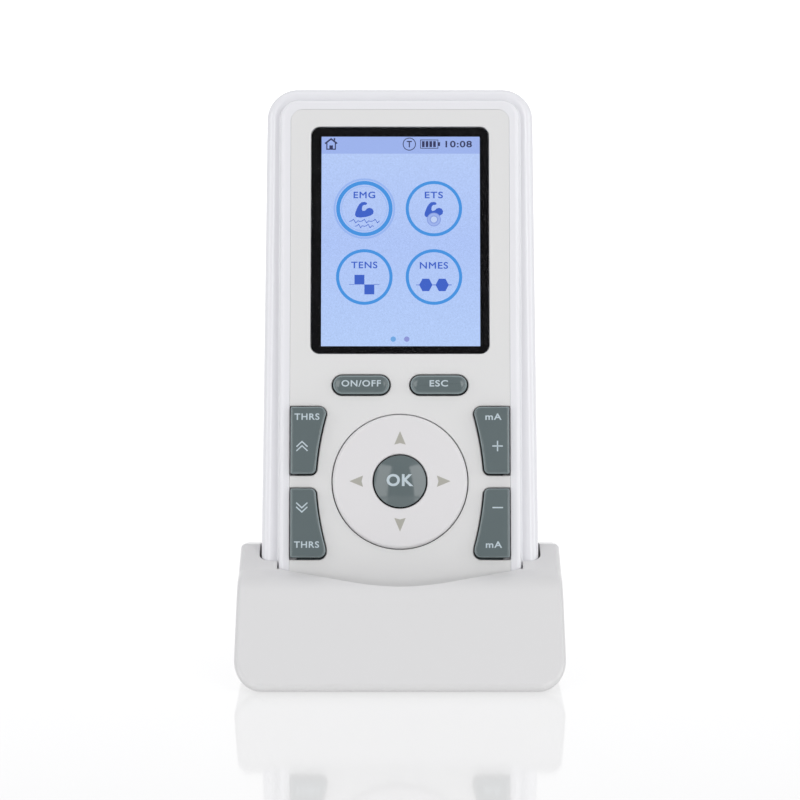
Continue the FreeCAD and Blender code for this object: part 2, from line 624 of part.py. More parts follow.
def front_panel():
    """Thin panel with the window, the ring's hole and a hole or notch for each key."""
    panel = front_plate(rectangle(PANEL_WIDTH, PANEL_FOOT, PANEL_TOP, PANEL_CORNER), 0, PANEL_THICKNESS)
    cuts = [front_plate(rectangle(WINDOW_WIDTH, WINDOW_FOOT, WINDOW_TOP, WINDOW_CORNER), -1, 3)]
    cuts.append(rod(0, RING_HEIGHT, RING_RADIUS + RING_GAP, -1, 3))
    cuts += [front_plate(pill_corners(i * PILL_OFFSET, KEY_GAP), -1, 3) for i in (-1, 1)]
    cuts += to_all_four(side_key_plate(KEY_GAP, -1, 3, PANEL_WIDTH)).values()
    return panel.cut(cuts)


def display_pieces():
    """Window glass, black mask, liquid crystal panel, backlight, steel frame and flex."""
    glass = front_plate(rectangle(WINDOW_WIDTH, WINDOW_FOOT, WINDOW_TOP, WINDOW_CORNER, -SEAM_GAP),
                        WINDOW_RECESS, WINDOW_RECESS + WINDOW_THICKNESS)
    mask_face = WINDOW_RECESS + WINDOW_THICKNESS
    mask_back = mask_face + MASK_THICKNESS
    mask = front_plate(rectangle(WINDOW_WIDTH, WINDOW_FOOT, WINDOW_TOP, WINDOW_CORNER, -SEAM_GAP),
                       mask_face, mask_back)
    active_top = ACTIVE_FOOT + ACTIVE_HEIGHT
    mask = mask.cut(box(ACTIVE_OFFSET - ACTIVE_WIDTH / 2, ACTIVE_OFFSET + ACTIVE_WIDTH / 2,
                        0, 3, ACTIVE_FOOT, active_top))
    lcd_half = WINDOW_WIDTH / 2 - LCD_MARGIN
    lcd_foot = WINDOW_FOOT + LCD_MARGIN
    lcd_top = WINDOW_TOP - LCD_MARGIN
    lcd_back = mask_back + LCD_THICKNESS
    light_back = lcd_back + BACKLIGHT_THICKNESS
    lcd = box(-lcd_half, lcd_half, mask_back, lcd_back, lcd_foot, lcd_top)
    light = box(-lcd_half, lcd_half, lcd_back, light_back, lcd_foot, lcd_top)
    frame_out = lcd_half + SEAM_GAP + LCD_FRAME_WIDTH
    frame = box(-frame_out, frame_out, FLANGE_FACE, light_back,
                lcd_foot - SEAM_GAP - LCD_FRAME_WIDTH, lcd_top + SEAM_GAP + LCD_FRAME_WIDTH)
    frame = frame.cut(box(-lcd_half - SEAM_GAP, lcd_half + SEAM_GAP, 0, CASE_SPLIT,
                          lcd_foot - SEAM_GAP, lcd_top + SEAM_GAP))
    flex_top = lcd_foot
    flex = box(-FLEX_WIDTH / 2, FLEX_WIDTH / 2, light_back - FLEX_THICKNESS, light_back,
               flex_top - FLEX_LENGTH, flex_top)
    frame = frame.cut(box(-FLEX_WIDTH / 2 - SEAM_GAP, FLEX_WIDTH / 2 + SEAM_GAP,
                          light_back - FLEX_THICKNESS - SEAM_GAP, light_back + 1,
                          flex_top - FLEX_LENGTH - 1, flex_top))
    return {"display_window": glass, "window_mask": mask, "lcd_panel": lcd,
            "lcd_backlight": light, "lcd_frame": frame, "lcd_flex": flex}


# ---- handset: electronics ---------------------------------------------------------------


def main_board():
    """Circuit board, with a hole for each of its screws."""
    half = BOARD_WIDTH / 2
    board = box(-half, half, BOARD_FACE, BOARD_BACK, BOARD_FOOT, BOARD_TOP)
    return board.cut([rod(x, z, BOARD_SCREW_RADIUS + SCREW_CLEARANCE, 0, CASE_SPLIT)
                      for x, z in board_screw_places()])


def dome_switches():
    """Snap domes under the keys."""
    return [rod(x, z, DOME_RADIUS, BOARD_FACE - DOME_RISE, BOARD_FACE) for x, z in dome_places()]


def keypad_mat():
    """Thin silicone sheet on the board, open round each dome and the gimbal."""
    reach = SIDE_KEY_FAR + FLANGE_LIP
    mat = box(-BOARD_WIDTH / 2, BOARD_WIDTH / 2, BOARD_FACE - KEYPAD_THICKNESS, BOARD_FACE,
              RING_HEIGHT - reach, PILL_HEIGHT + PILL_WIDTH)
    mat = mat.cut([rod(x, z, DOME_RADIUS + 0.3, 0, CASE_SPLIT) for x, z in dome_places()])
    return mat.cut(rod(0, RING_HEIGHT, HUB_RADIUS + DOME_GAP, 0, CASE_SPLIT))


def board_parts():
    """Processor, output transformers, capacitors and buzzer on the back of the board."""
    chip = CHIP_SIZE / 2
    processor = [box(-chip, chip, BOARD_BACK, BOARD_BACK + CHIP_THICKNESS, 92 - chip, 92 + chip),
                 box(10, 16, BOARD_BACK, BOARD_BACK + 1.0, 86, 94)]
    width = TRANSFORMER_WIDTH / 2
    length = TRANSFORMER_LENGTH / 2
    transformers = [box(x - width, x + width, BOARD_BACK, BOARD_BACK + TRANSFORMER_RISE,
                        66 - length, 66 + length) for x in (-12, 12)]
    capacitors = [rod(x, 54, CAPACITOR_RADIUS, BOARD_BACK, BOARD_BACK + CAPACITOR_RISE)
                  for x in (-15, -8, 8, 15)]
    buzzer = [rod(12, 24, BUZZER_RADIUS, BOARD_BACK, BOARD_BACK + BUZZER_RISE)]
    return {"processor": processor, "output_transformers": transformers,
            "capacitors": capacitors, "buzzer": buzzer}


def lead_socket(x):
    """Moulded socket for an electrode lead: a block on the board and a round nose."""
    half = LEAD_BLOCK_WIDTH / 2
    block_top = CASE_HEIGHT - CASE_WALL - SEAM_GAP
    mouth = CASE_HEIGHT - LEAD_NOSE_RECESS
    block = box(x - half, x + half, BOARD_BACK, LEAD_DEPTH + half, block_top - LEAD_BLOCK_LENGTH, block_top)
    socket = block.fuse(end_rod(x, LEAD_DEPTH, LEAD_NOSE_RADIUS, block_top - 1, mouth))
    return socket.cut(end_rod(x, LEAD_DEPTH, LEAD_BORE_RADIUS, mouth - LEAD_BORE_LENGTH, mouth + 1))


def board_screw(x, z):
    """Small pan-head screw that holds the board to the front shell."""
    shank = rod(x, z, BOARD_SCREW_RADIUS, LEDGE_FACE + 1.0, BOARD_BACK + 0.1)
    head = rod(x, z, BOARD_SCREW_HEAD, BOARD_BACK, BOARD_BACK + 0.9)
    slot = box(x - 1.1, x + 1.1, BOARD_BACK + 0.5, BOARD_BACK + 1, z - 0.2, z + 0.2)
    return shank.fuse(head).cut(slot)


def case_screw(x, z):
    """Screw that joins the two half shells, with a cross in its head."""
    head_back = CASE_SCREW_SEAT + CASE_SCREW_HEAD_RISE
    shank = rod(x, z, CASE_SCREW_RADIUS, SHOULDER_DEPTH + 3, CASE_SCREW_SEAT + 0.1)
    head = rod(x, z, CASE_SCREW_HEAD, CASE_SCREW_SEAT, head_back)
    cross = [box(x - 1.2, x + 1.2, head_back - 0.8, head_back + 1, z - 0.3, z + 0.3),
             box(x - 0.3, x + 0.3, head_back - 0.8, head_back + 1, z - 1.2, z + 1.2)]
    return shank.fuse(head).cut(cross)


def charge_pad(x):
    """Gilt pad let into the foot, with a flange inside."""
    disc = end_rod(x, CONTACT_DEPTH, PAD_RADIUS, PAD_RECESS, CASE_WALL + 0.1)
    return disc.fuse(end_rod(x, CONTACT_DEPTH, PAD_RADIUS + PAD_FLANGE, CASE_WALL, CASE_WALL + 0.5))


# ---- handset: battery and its door --------------------------------------------------------


def battery_bay_foot():
    """Height of the battery bay's lower wall face."""
    return DOOR_FOOT + HINGE_RADIUS + DOOR_GAP + TRAY_WALL


def battery_pack():
    """Flat lithium pack with rounded long corners."""
    foot = battery_bay_foot() + CONTACT_STRIP
    face = TRAY_FLOOR + TRAY_WALL + 0.1
    half = BATTERY_WIDTH / 2
    pack = box(-half, half, face, face + BATTERY_THICKNESS, foot, foot + BATTERY_LENGTH)
    upright_edges = lambda e: e.BoundBox.YLength < 1e-3 and e.BoundBox.XLength < 1e-3
    return round_edges(pack, BATTERY_CORNER, upright_edges)


def battery_contacts():
    """Three leaf contacts between the bay's lower wall and the pack."""
    foot = battery_bay_foot()
    face = TRAY_FLOOR + TRAY_WALL + 1.2
    return [box(x - 1.5, x + 1.5, face, face + 3.2, foot, foot + CONTACT_STRIP - 0.1) for x in (-6, 0, 6)]


def battery_door():
    """Door with a hinge barrel along its foot, stub pins, and finger ridges."""
    half = DOOR_WIDTH / 2
    leaf = front_plate([(-half, DOOR_FOOT, 0), (half, DOOR_FOOT, 0), (half, DOOR_TOP, DOOR_CORNER),
                        (-half, DOOR_TOP, DOOR_CORNER)], DOOR_FACE, CASE_DEPTH)
    barrel = Part.makeCylinder(HINGE_RADIUS, DOOR_WIDTH, V(-half, HINGE_DEPTH, DOOR_FOOT), V(1, 0, 0))
    reach = half + HINGE_STUB_LENGTH
    stubs = Part.makeCylinder(HINGE_STUB_RADIUS, 2 * reach, V(-reach, HINGE_DEPTH, DOOR_FOOT), V(1, 0, 0))
    door = leaf.fuse([barrel, stubs])
    door = door.cut([box(-8, 8, CASE_DEPTH - 0.4, CASE_DEPTH + 1, z, z + 0.7) for z in (66, 68, 70)])
    door = door.cut(rod(0, DOOR_SCREW_HEIGHT, DOOR_SCREW_RADIUS + SCREW_CLEARANCE, 0, CASE_DEPTH + 1))
    return door.cut(rod(0, DOOR_SCREW_HEIGHT, DOOR_SCREW_HEAD + SEAM_GAP, CASE_DEPTH - 0.8, CASE_DEPTH + 1))


def door_screw():
    """Captive screw in the door, with a coin slot."""
    seat = CASE_DEPTH - 0.8
    head = rod(0, DOOR_SCREW_HEIGHT, DOOR_SCREW_HEAD, seat, CASE_DEPTH - 0.1)
    shank = rod(0, DOOR_SCREW_HEIGHT, DOOR_SCREW_RADIUS, DOOR_FACE - DOOR_SCREW_LENGTH, seat + 0.1)
    slot = box(-1.9, 1.9, CASE_DEPTH - 0.5, CASE_DEPTH + 1,
               DOOR_SCREW_HEIGHT - 0.35, DOOR_SCREW_HEIGHT + 0.35)
    return head.fuse(shank).cut(slot)


# ---- cradle -------------------------------------------------------------------------------


def cradle_profile(corners):
    """A side outline given as (setback from the toe line, height, radius), across the cradle."""
    wire = rounded_wire(corners, lambda a, b: V(-CRADLE_WIDTH_BASE, CRADLE_TOE + a, b))
    return Part.Face(wire).extrude(V(2 * CRADLE_WIDTH_BASE, 0, 0))


def cradle_outside():
    """Wedge with a hollow crown and two low ears, its edges rounded in one run."""
    side = cradle_profile([
        (SHELL_UNDERSIDE, SHELL_UNDERSIDE, 0), (LIP_SETBACK, LIP_HEIGHT, LIP_RADIUS),
        (CREASE_SETBACK, CREASE_HEIGHT, CREASE_RADIUS), (EAR_SETBACK, EAR_HEIGHT, EAR_RADIUS),
        (REAR_SETBACK, REAR_HEIGHT, REAR_RADIUS), (CRADLE_DEPTH, SHELL_UNDERSIDE, 0)])
    tall = 2 * REAR_HEIGHT
    taper = (CRADLE_WIDTH_BASE - CRADLE_WIDTH_TOP) / 2 * tall / REAR_HEIGHT
    base = CRADLE_WIDTH_BASE / 2
    turn = CRADLE_BOTTOM_CORNER
    front = front_plate([(-base, SHELL_UNDERSIDE, turn), (base, SHELL_UNDERSIDE, turn),
                         (base - taper, tall, 0), (-base + taper, tall, 0)],
                        CRADLE_TOE - 10, CRADLE_TOE + CRADLE_DEPTH + 10)
    wedge = side.common(front)
    return round_edges(wedge, CRADLE_EDGE_RADIUS, rim_edge)


def rim_edge(e):
    """True for the closed run of edges where the wedge's profile meets its outline."""
    b = e.BoundBox
    toe_or_heel = b.XLength > CRADLE_BOTTOM_CORNER * 2 and b.ZMax < SHELL_UNDERSIDE + 1e-3
    along_side = b.YLength > CRADLE_DEPTH * 0.75
    straight_across = b.XLength > CRADLE_BOTTOM_CORNER * 2
    return toe_or_heel or not (along_side or straight_across)


def slot_corners(grow):
    """The handset's outline from above, grown by the same amount all round."""
    half = CASE_WIDTH_FOOT / 2 + grow
    front = SHOULDER_RADIUS + grow
    back = BACK_RADIUS + grow
    return [(-half, SHOULDER_DEPTH - grow, front), (half, SHOULDER_DEPTH - grow, front),
            (half, CASE_DEPTH + grow, back), (-half, CASE_DEPTH + grow, back)]


def above(corners, z0, z1):
    """An outline seen along the handset's length, from z0 to z1."""
    wire = rounded_wire(corners, lambda a, b: V(a, b, z0))
    return Part.Face(wire).extrude(V(0, 0, z1 - z0))


def slot_space(grow, z0):
    """The room the docked handset takes up, plateau included, grown all round."""
    half = PLATEAU_WIDTH / 2 + grow
    plateau = box(-half, half, -grow, CASE_DEPTH / 2, z0, CASE_HEIGHT)
    return above(slot_corners(grow), z0, CASE_HEIGHT).fuse(plateau).removeSplitter()


def scoop_space(grow, z0):
    """Finger scoop in front of the panel: part of a large cylinder along the handset."""
    centre = SCOOP_RADIUS - SCOOP_REACH
    scoop = end_rod(0, centre, SCOOP_RADIUS + grow, z0, CASE_HEIGHT)
    return scoop.common(box(-PLATEAU_WIDTH / 2, PLATEAU_WIDTH / 2, -SCOOP_REACH - grow,
                            SHOULDER_DEPTH, z0, CASE_HEIGHT))


def base_screw_places():
    """Where the four base screws stand, as (x, y)."""
    return [(i * BASE_SCREW_X, j * BASE_SCREW_Y) for i in (-1, 1) for j in (-1, 1)]


def base_outline(width, depth, radius, z0, z1, grow=0.0):
    """A level rounded plate about the origin."""
    half_x = width / 2 + grow
    half_y = depth / 2 + grow
    turn = radius + grow
    wire = rounded_wire([(-half_x, -half_y, turn), (half_x, -half_y, turn),
                         (half_x, half_y, turn), (-half_x, half_y, turn)], lambda a, b: V(a, b, z0))
    return Part.Face(wire).extrude(V(0, 0, z1 - z0))


def cradle_cavity():
    """Room inside the cradle: its profile and outline set in by the wall."""
    wall = CRADLE_WALL
    slant = wall * sqrt(2)
    foot = CRADLE_TOE + CRADLE_DEPTH / 2
    side = cradle_profile([
        (BASE_TOP + slant + wall, BASE_TOP, 0), (BASE_TOP + slant + wall, BASE_TOP + wall, 0),
        (LIP_SETBACK + wall, LIP_HEIGHT - wall, 0), (CREASE_SETBACK + wall, CREASE_HEIGHT - wall, 0),
        (EAR_SETBACK + wall, EAR_HEIGHT - wall, 0), (REAR_SETBACK - wall, REAR_HEIGHT - wall, 0),
        (CRADLE_DEPTH - 2 * wall - 1, BASE_TOP + wall, 0), (CRADLE_DEPTH - 2 * wall - 1, BASE_TOP, 0)])
    low = BASE_WIDTH / 2 - BASE_LEDGE
    high = CRADLE_WIDTH_TOP / 2 - wall
    front = front_plate([(-low, BASE_TOP, 0), (low, BASE_TOP, 0), (high, BASE_TOP + high - low, 0),
                         (high, REAR_HEIGHT, 0), (-high, REAR_HEIGHT, 0), (-high, BASE_TOP + high - low, 0)],
                        foot - CRADLE_DEPTH, foot + CRADLE_DEPTH)
    mouth = base_outline(BASE_WIDTH, BASE_DEPTH, BASE_CORNER, BASE_TOP, REAR_HEIGHT, -BASE_LEDGE)
    low_part = mouth.common(box(-100, 100, -100, 100, BASE_TOP, BASE_TOP + 0.6))
    high_part = side.common(front).common(box(-100, 100, -100, 100, BASE_TOP + 0.5, 100))
    return side.common(front).common(low_part).fuse(high_part)


def cradle_shell():
    """Moulded shell: slot and scoop for the handset, screw bosses, and the inlet's way out."""
    outside = cradle_outside()
    slot_block = lean(slot_space(DOCK_GAP + SLOT_WALL, SLOT_FLOOR_UNDERSIDE))
    scoop_block = lean(scoop_space(SLOT_WALL, SCOOP_FLOOR - SLOT_WALL))
    hollow = cradle_cavity().cut([slot_block, scoop_block])
    shell = outside.cut(hollow)
    bosses = [upright(x, y, BASE_BOSS_RADIUS, BASE_TOP, REAR_HEIGHT) for x, y in base_screw_places()]
    shell = shell.fuse([b.common(outside) for b in bosses])
    shell = shell.cut([lean(slot_space(DOCK_GAP, -DOCK_FLOOR_GAP)), lean(scoop_space(0, SCOOP_FLOOR))])
    shell = shell.cut(base_outline(BASE_WIDTH, BASE_DEPTH, BASE_CORNER, -1, BASE_TOP, SEAM_GAP))
    shell = shell.cut([upright(x, y, BASE_SCREW_RADIUS + SCREW_CLEARANCE, 0, BASE_TOP + BASE_SCREW_LENGTH)
                       for x, y in base_screw_places()])
    shell = shell.cut([lean(end_rod(x, CONTACT_DEPTH, PIN_RADIUS + RUNNING_CLEARANCE,
                                    SLOT_FLOOR_UNDERSIDE - 0.5, 1)) for x in contact_places()])
    way_out = Part.makeCylinder(INLET_NOSE_RADIUS + SEAM_GAP, 20, V(0, INLET_REACH - 12, inlet_height()),
                                V(0, 1, 0))
    recess = Part.makeCylinder(INLET_NOSE_RADIUS + INLET_RECESS_RIM, 20,
                               V(0, INLET_REACH - INLET_RECESS, inlet_height()), V(0, 1, 0))
    return shell.cut([way_out, recess]).removeSplitter()


def contact_places():
    """The x of each charging contact."""
    return (-CONTACT_SPACING / 2, CONTACT_SPACING / 2)


def contact_pin(x):
    """Sprung pin with a round tip and a collar inside the contact block."""
    tip = PAD_RECESS - PIN_GAP
    shank = end_rod(x, CONTACT_DEPTH, PIN_RADIUS, SLOT_FLOOR_UNDERSIDE - 2.0, tip - PIN_RADIUS)
    nose = Part.makeSphere(PIN_RADIUS, V(x, CONTACT_DEPTH, tip - PIN_RADIUS))
    collar = end_rod(x, CONTACT_DEPTH, PIN_COLLAR_RADIUS, SLOT_FLOOR_UNDERSIDE - 0.2 - PIN_COLLAR_THICKNESS,
                     SLOT_FLOOR_UNDERSIDE - 0.2)
    return shank.fuse([nose, collar]).removeSplitter()


def contact_block():
    """Block under the slot floor with a blind bore for each pin."""
    top = SLOT_FLOOR_UNDERSIDE
    block = box(-BLOCK_WIDTH / 2, BLOCK_WIDTH / 2, CONTACT_DEPTH - BLOCK_DEPTH / 2,
                CONTACT_DEPTH + BLOCK_DEPTH / 2, top - BLOCK_HEIGHT, top)
    bores = [end_rod(x, CONTACT_DEPTH, PIN_COLLAR_RADIUS + 0.15, top - BLOCK_HEIGHT + 0.3, top + 1)
             for x in contact_places()]
    return block.cut(bores)


def cradle_board():
    """Small circuit board under the contact block."""
    top = SLOT_FLOOR_UNDERSIDE - BLOCK_HEIGHT
    half = CRADLE_BOARD_WIDTH / 2
    return box(-half, half, CONTACT_DEPTH - CRADLE_BOARD_DEPTH / 2, CONTACT_DEPTH + CRADLE_BOARD_DEPTH / 2,
               top - CRADLE_BOARD_THICKNESS, top)


def inlet_height():
    """Height of the inlet's axis above the table."""
    return BASE_TOP + INLET_HEIGHT / 2


def dc_inlet():
    """Round low-voltage inlet that sits on the base plate and looks out at the back."""
    half = INLET_WIDTH / 2
    block_back = INLET_REACH - INLET_NOSE_LENGTH
    block = box(-half, half, block_back - INLET_LENGTH, block_back, BASE_TOP, BASE_TOP + INLET_HEIGHT)
    z = inlet_height()
    nose = Part.makeCylinder(INLET_NOSE_RADIUS, INLET_NOSE_LENGTH + 1, V(0, block_back - 1, z), V(0, 1, 0))
    bore = Part.makeCylinder(INLET_BORE_RADIUS, INLET_BORE_LENGTH + 1,
                             V(0, INLET_REACH - INLET_BORE_LENGTH, z), V(0, 1, 0))
    return block.fuse(nose).cut(bore)


def inlet_pin():
    """Centre pin of the inlet."""
    floor = INLET_REACH - INLET_BORE_LENGTH
    length = INLET_BORE_LENGTH - 1.0
    return Part.makeCylinder(INLET_PIN_RADIUS, length, V(0, floor, inlet_height()), V(0, 1, 0))


def base_plate():
    """Flat plate that closes the cradle, with sunk screw seats and a bed for the mat."""
    plate = base_outline(BASE_WIDTH, BASE_DEPTH, BASE_CORNER, SHELL_UNDERSIDE, BASE_TOP)
    plate = plate.cut([upright(x, y, BASE_SCREW_RADIUS + SCREW_CLEARANCE, 0, BASE_TOP + 1)
                       for x, y in base_screw_places()])
    plate = plate.cut([upright(x, y, BASE_SCREW_HEAD + SEAM_GAP, 0, SHELL_UNDERSIDE + BASE_SCREW_HEAD_RISE)
                       for x, y in base_screw_places()])
    return plate.cut(foot_mat_space(SEAM_GAP, MAT_SHEET))


def foot_mat_space(grow, top):
    """The rubber mat's outline: a plate whose corners stay clear of the screws."""
    mat = base_outline(MAT_WIDTH, MAT_DEPTH, BASE_CORNER, 0, top, grow)
    keep = [upright(x, y, BASE_SCREW_HEAD + 2.4 - grow, -1, 3) for x, y in base_screw_places()]
    return mat.cut(keep)


def base_screw(x, y):
    """Pan-head screw from below, with a cross in its head."""
    seat = SHELL_UNDERSIDE + BASE_SCREW_HEAD_RISE
    head = upright(x, y, BASE_SCREW_HEAD, SHELL_UNDERSIDE + 0.1, seat)
    shank = upright(x, y, BASE_SCREW_RADIUS, seat - 0.1, BASE_TOP + BASE_SCREW_LENGTH - 0.4)
    cross = [box(x - 1.1, x + 1.1, y - 0.25, y + 0.25, 0, SHELL_UNDERSIDE + 0.5),
             box(x - 0.25, x + 0.25, y - 1.1, y + 1.1, 0, SHELL_UNDERSIDE + 0.5)]
    return head.fuse(shank).cut(cross)


def ballast_plate():
    """Steel plate on the base plate, towards the toe."""
    half = BALLAST_WIDTH / 2
    middle = CRADLE_TOE + BALLAST_SETBACK
    return box(-half, half, middle - BALLAST_DEPTH / 2, middle + BALLAST_DEPTH / 2,
               BASE_TOP, BASE_TOP + BALLAST_THICKNESS)


# ---- write every sub-part ---------------------------------------------------------------

os.makedirs("parts", exist_ok=True)

save_handset("front_shell", front_shell())
save_handset("rear_shell", rear_shell())
save_handset("front_panel", front_panel())
for name, piece in display_pieces().items():
    save_handset(name, piece)
save_handset("keypad_mat", keypad_mat())
save_handset("dome_switches", *dome_switches())
save_handset("main_board", main_board())
for name, pieces in board_parts().items():
    save_handset(name, *pieces)
for name, x in lead_places().items():
    save_handset(name, lead_socket(x))
save_handset("board_screws", *[board_screw(x, z) for x, z in board_screw_places()])
save_handset("case_screws", *[case_screw(x, z) for x, z in case_screw_places()])
save_handset("charge_pads", *[charge_pad(x) for x in contact_places()])
save_handset("battery_pack", battery_pack())
save_handset("battery_contacts", *battery_contacts())
save_handset("battery_door", battery_door())
save_handset("door_screw", door_screw())

save_handset("on_off_key", pill_key(-PILL_OFFSET))
save_handset("escape_key", pill_key(PILL_OFFSET))
for name, piece in to_all_four(side_key()).items():
    save_handset(name, piece)
save_handset("ok_key", ok_key())
save_handset("direction_ring", direction_ring())
save_handset("ring_pivot", ring_pivot())

save("cradle_shell", cradle_shell())
save("base_plate", base_plate())
save("foot_mat", foot_mat_space(0, MAT_SHEET))
save("ballast_plate", ballast_plate())
save("dc_inlet", dc_inlet())
save("inlet_pin", inlet_pin())
save("base_screws", Part.makeCompound([base_screw(x, y) for x, y in base_screw_places()]))
save_handset("contact_block", contact_block())
save_handset("cradle_board", cradle_board())
for name, x in zip(("contact_pin_left", "contact_pin_right"), contact_places()):
    save_handset(name, contact_pin(x))
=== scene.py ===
import json
import bpy
import bmesh
from math import pi, radians
from mathutils import Matrix, Vector
from mathutils.bvhtree import BVHTree


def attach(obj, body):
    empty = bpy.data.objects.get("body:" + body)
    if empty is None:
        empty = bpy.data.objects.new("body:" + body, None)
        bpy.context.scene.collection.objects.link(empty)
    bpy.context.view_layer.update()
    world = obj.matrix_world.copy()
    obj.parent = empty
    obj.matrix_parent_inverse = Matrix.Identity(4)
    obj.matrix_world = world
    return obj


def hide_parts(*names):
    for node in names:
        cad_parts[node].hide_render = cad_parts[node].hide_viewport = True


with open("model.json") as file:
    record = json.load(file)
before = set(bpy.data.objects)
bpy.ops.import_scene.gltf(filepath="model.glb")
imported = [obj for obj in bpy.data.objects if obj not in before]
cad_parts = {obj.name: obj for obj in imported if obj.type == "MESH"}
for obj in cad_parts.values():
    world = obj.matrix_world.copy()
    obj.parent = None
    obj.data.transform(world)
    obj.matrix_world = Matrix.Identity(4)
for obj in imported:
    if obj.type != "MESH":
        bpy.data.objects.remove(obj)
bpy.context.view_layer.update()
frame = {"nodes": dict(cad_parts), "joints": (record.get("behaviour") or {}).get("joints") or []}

MM = 0.001
scene = bpy.context.scene
nodes = frame["nodes"]

# ---- Studio ----------------------------------------------------------------------------
# A glossy white table under soft boxes. The long lens stands in front, a little above
# the screen, and looks down at the cradle by a few degrees.

CAMERA_DISTANCE = 855.3 * MM
CAMERA_HEIGHT = 172.9 * MM
CAMERA_PITCH = 7.48
LENS = 170.6
TABLE_SIZE = 30.0
TABLE_DROP = 0.03 * MM       # keeps the table's face clear of the rubber mat's
TABLE_COLOUR = (0.25, 0.25, 0.252, 1)
TABLE_ROUGHNESS = 0.06
TABLE_GLOW = 0.50
ROOM_STRENGTH = 1.35
ROOM_BRIGHT_WAY = (0, 0.91, -0.41)
ROOM_DARK = (0.03, 0.03, 0.033, 1)
ROOM_SIDE = (0.46, 0.46, 0.4738, 1)
ROOM_STOPS = ((0.03, ROOM_DARK), (0.22, ROOM_SIDE), (0.72, ROOM_SIDE), (1.0, (1, 1, 1, 1)))

camera = bpy.data.objects.new("camera", bpy.data.cameras.new("camera"))
camera.data.lens = LENS
camera.data.sensor_width = 36
camera.data.clip_start = 0.05
camera.data.clip_end = 100
camera.location = (0, -CAMERA_DISTANCE, CAMERA_HEIGHT)
camera.rotation_euler = (radians(90 - CAMERA_PITCH), 0, 0)
scene.collection.objects.link(camera)
scene.camera = camera
scene.view_settings.view_transform = "Standard"


def add_object(name, mesh):
    """Put a finished mesh into the scene."""
    thing = bpy.data.objects.new(name, mesh)
    scene.collection.objects.link(thing)
    return thing


def mesh_from(bm, name):
    """Write a bmesh out as a mesh and free it."""
    mesh = bpy.data.meshes.new(name)
    bm.to_mesh(mesh)
    bm.free()
    return mesh


def new_material(name, colour, roughness, **settings):
    """A material with one Principled shader; extra settings name its sockets."""
    material = bpy.data.materials.new(name)
    material.use_nodes = True
    shader = material.node_tree.nodes["Principled BSDF"]
    shader.inputs["Base Color"].default_value = colour
    shader.inputs["Roughness"].default_value = roughness
    for socket, value in settings.items():
        shader.inputs[socket.replace("_", " ")].default_value = value
    return material, shader


def fill_ramp(ramp, stops):
    """Give a colour ramp its stops, each a position and a colour, in rising order."""
    while len(ramp.color_ramp.elements) < len(stops):
        ramp.color_ramp.elements.new(0.5)
    for element, (position, colour) in zip(ramp.color_ramp.elements, stops):
        element.position = position
        element.color = colour


bm = bmesh.new()
bmesh.ops.create_grid(bm, x_segments=1, y_segments=1, size=TABLE_SIZE / 2)
bmesh.ops.translate(bm, verts=bm.verts, vec=(0, 0, -TABLE_DROP))
table = add_object("studio_table", mesh_from(bm, "studio_table"))
table_material, shader = new_material("table_gloss", TABLE_COLOUR, TABLE_ROUGHNESS)
shader.inputs["Emission Color"].default_value = (1, 1, 1, 1)
shader.inputs["Emission Strength"].default_value = TABLE_GLOW
table.data.materials.append(table_material)

# the room: bright behind the table, softer at the sides, and dark behind the camera,
# so that the screen's glass stays black
world = bpy.data.worlds.new("studio")
world.use_nodes = True
scene.world = world
tree = world.node_tree
room = tree.nodes["Background"]
look = tree.nodes.new("ShaderNodeTexCoord")
behind = tree.nodes.new("ShaderNodeVectorMath")
behind.operation = "DOT_PRODUCT"
behind.inputs[1].default_value = ROOM_BRIGHT_WAY
tree.links.new(look.outputs["Generated"], behind.inputs[0])
span = tree.nodes.new("ShaderNodeMapRange")
span.inputs["From Min"].default_value = -1
tree.links.new(behind.outputs["Value"], span.inputs["Value"])
ramp = tree.nodes.new("ShaderNodeValToRGB")
fill_ramp(ramp, ROOM_STOPS)
tree.links.new(span.outputs["Result"], ramp.inputs["Fac"])
tree.links.new(ramp.outputs["Color"], room.inputs["Color"])
room.inputs["Strength"].default_value = ROOM_STRENGTH


def soft_box(name, place, aim, width, height, power, mirrored=True):
    """A rectangular soft box, turned towards a point; it may stay out of reflections."""
    lamp = bpy.data.lights.new(name, "AREA")
    lamp.shape = "RECTANGLE"
    lamp.size = width
    lamp.size_y = height
    lamp.energy = power
    stand = bpy.data.objects.new(name, lamp)
    stand.location = place
    stand.rotation_euler = (Vector(aim) - Vector(place)).to_track_quat("-Z", "Y").to_euler()
    stand.visible_camera = False
    stand.visible_glossy = mirrored
    scene.collection.objects.link(stand)


soft_box("left_box", (-0.52, -1.00, 0.50), (0, 0, 0.06), 0.40, 1.0, 3.4)
soft_box("right_box", (0.57, -0.98, 0.50), (0, 0, 0.06), 0.42, 1.0, 4.0)
soft_box("front_box", (0, -1.50, 0.02), (0, 0, 0.04), 1.0, 0.3, 2.6, mirrored=False)
soft_box("left_side_box", (-1.0, -0.25, 0.25), (0, 0, 0.06), 0.25, 0.8, 1.6)
soft_box("right_side_box", (1.0, -0.20, 0.30), (0, 0, 0.06), 0.3, 0.8, 1.9)
soft_box("top_box", (0, 0.10, 1.2), (0, 0, 0), 1.4, 0.7, 1.8)

# ---- Cradle's underside ----------------------------------------------------------------
# A moulded base plate closes the cradle, held by four screws. A thin black rubber sheet
# is bonded into its bed, and a steel plate rests on its inner face for weight.

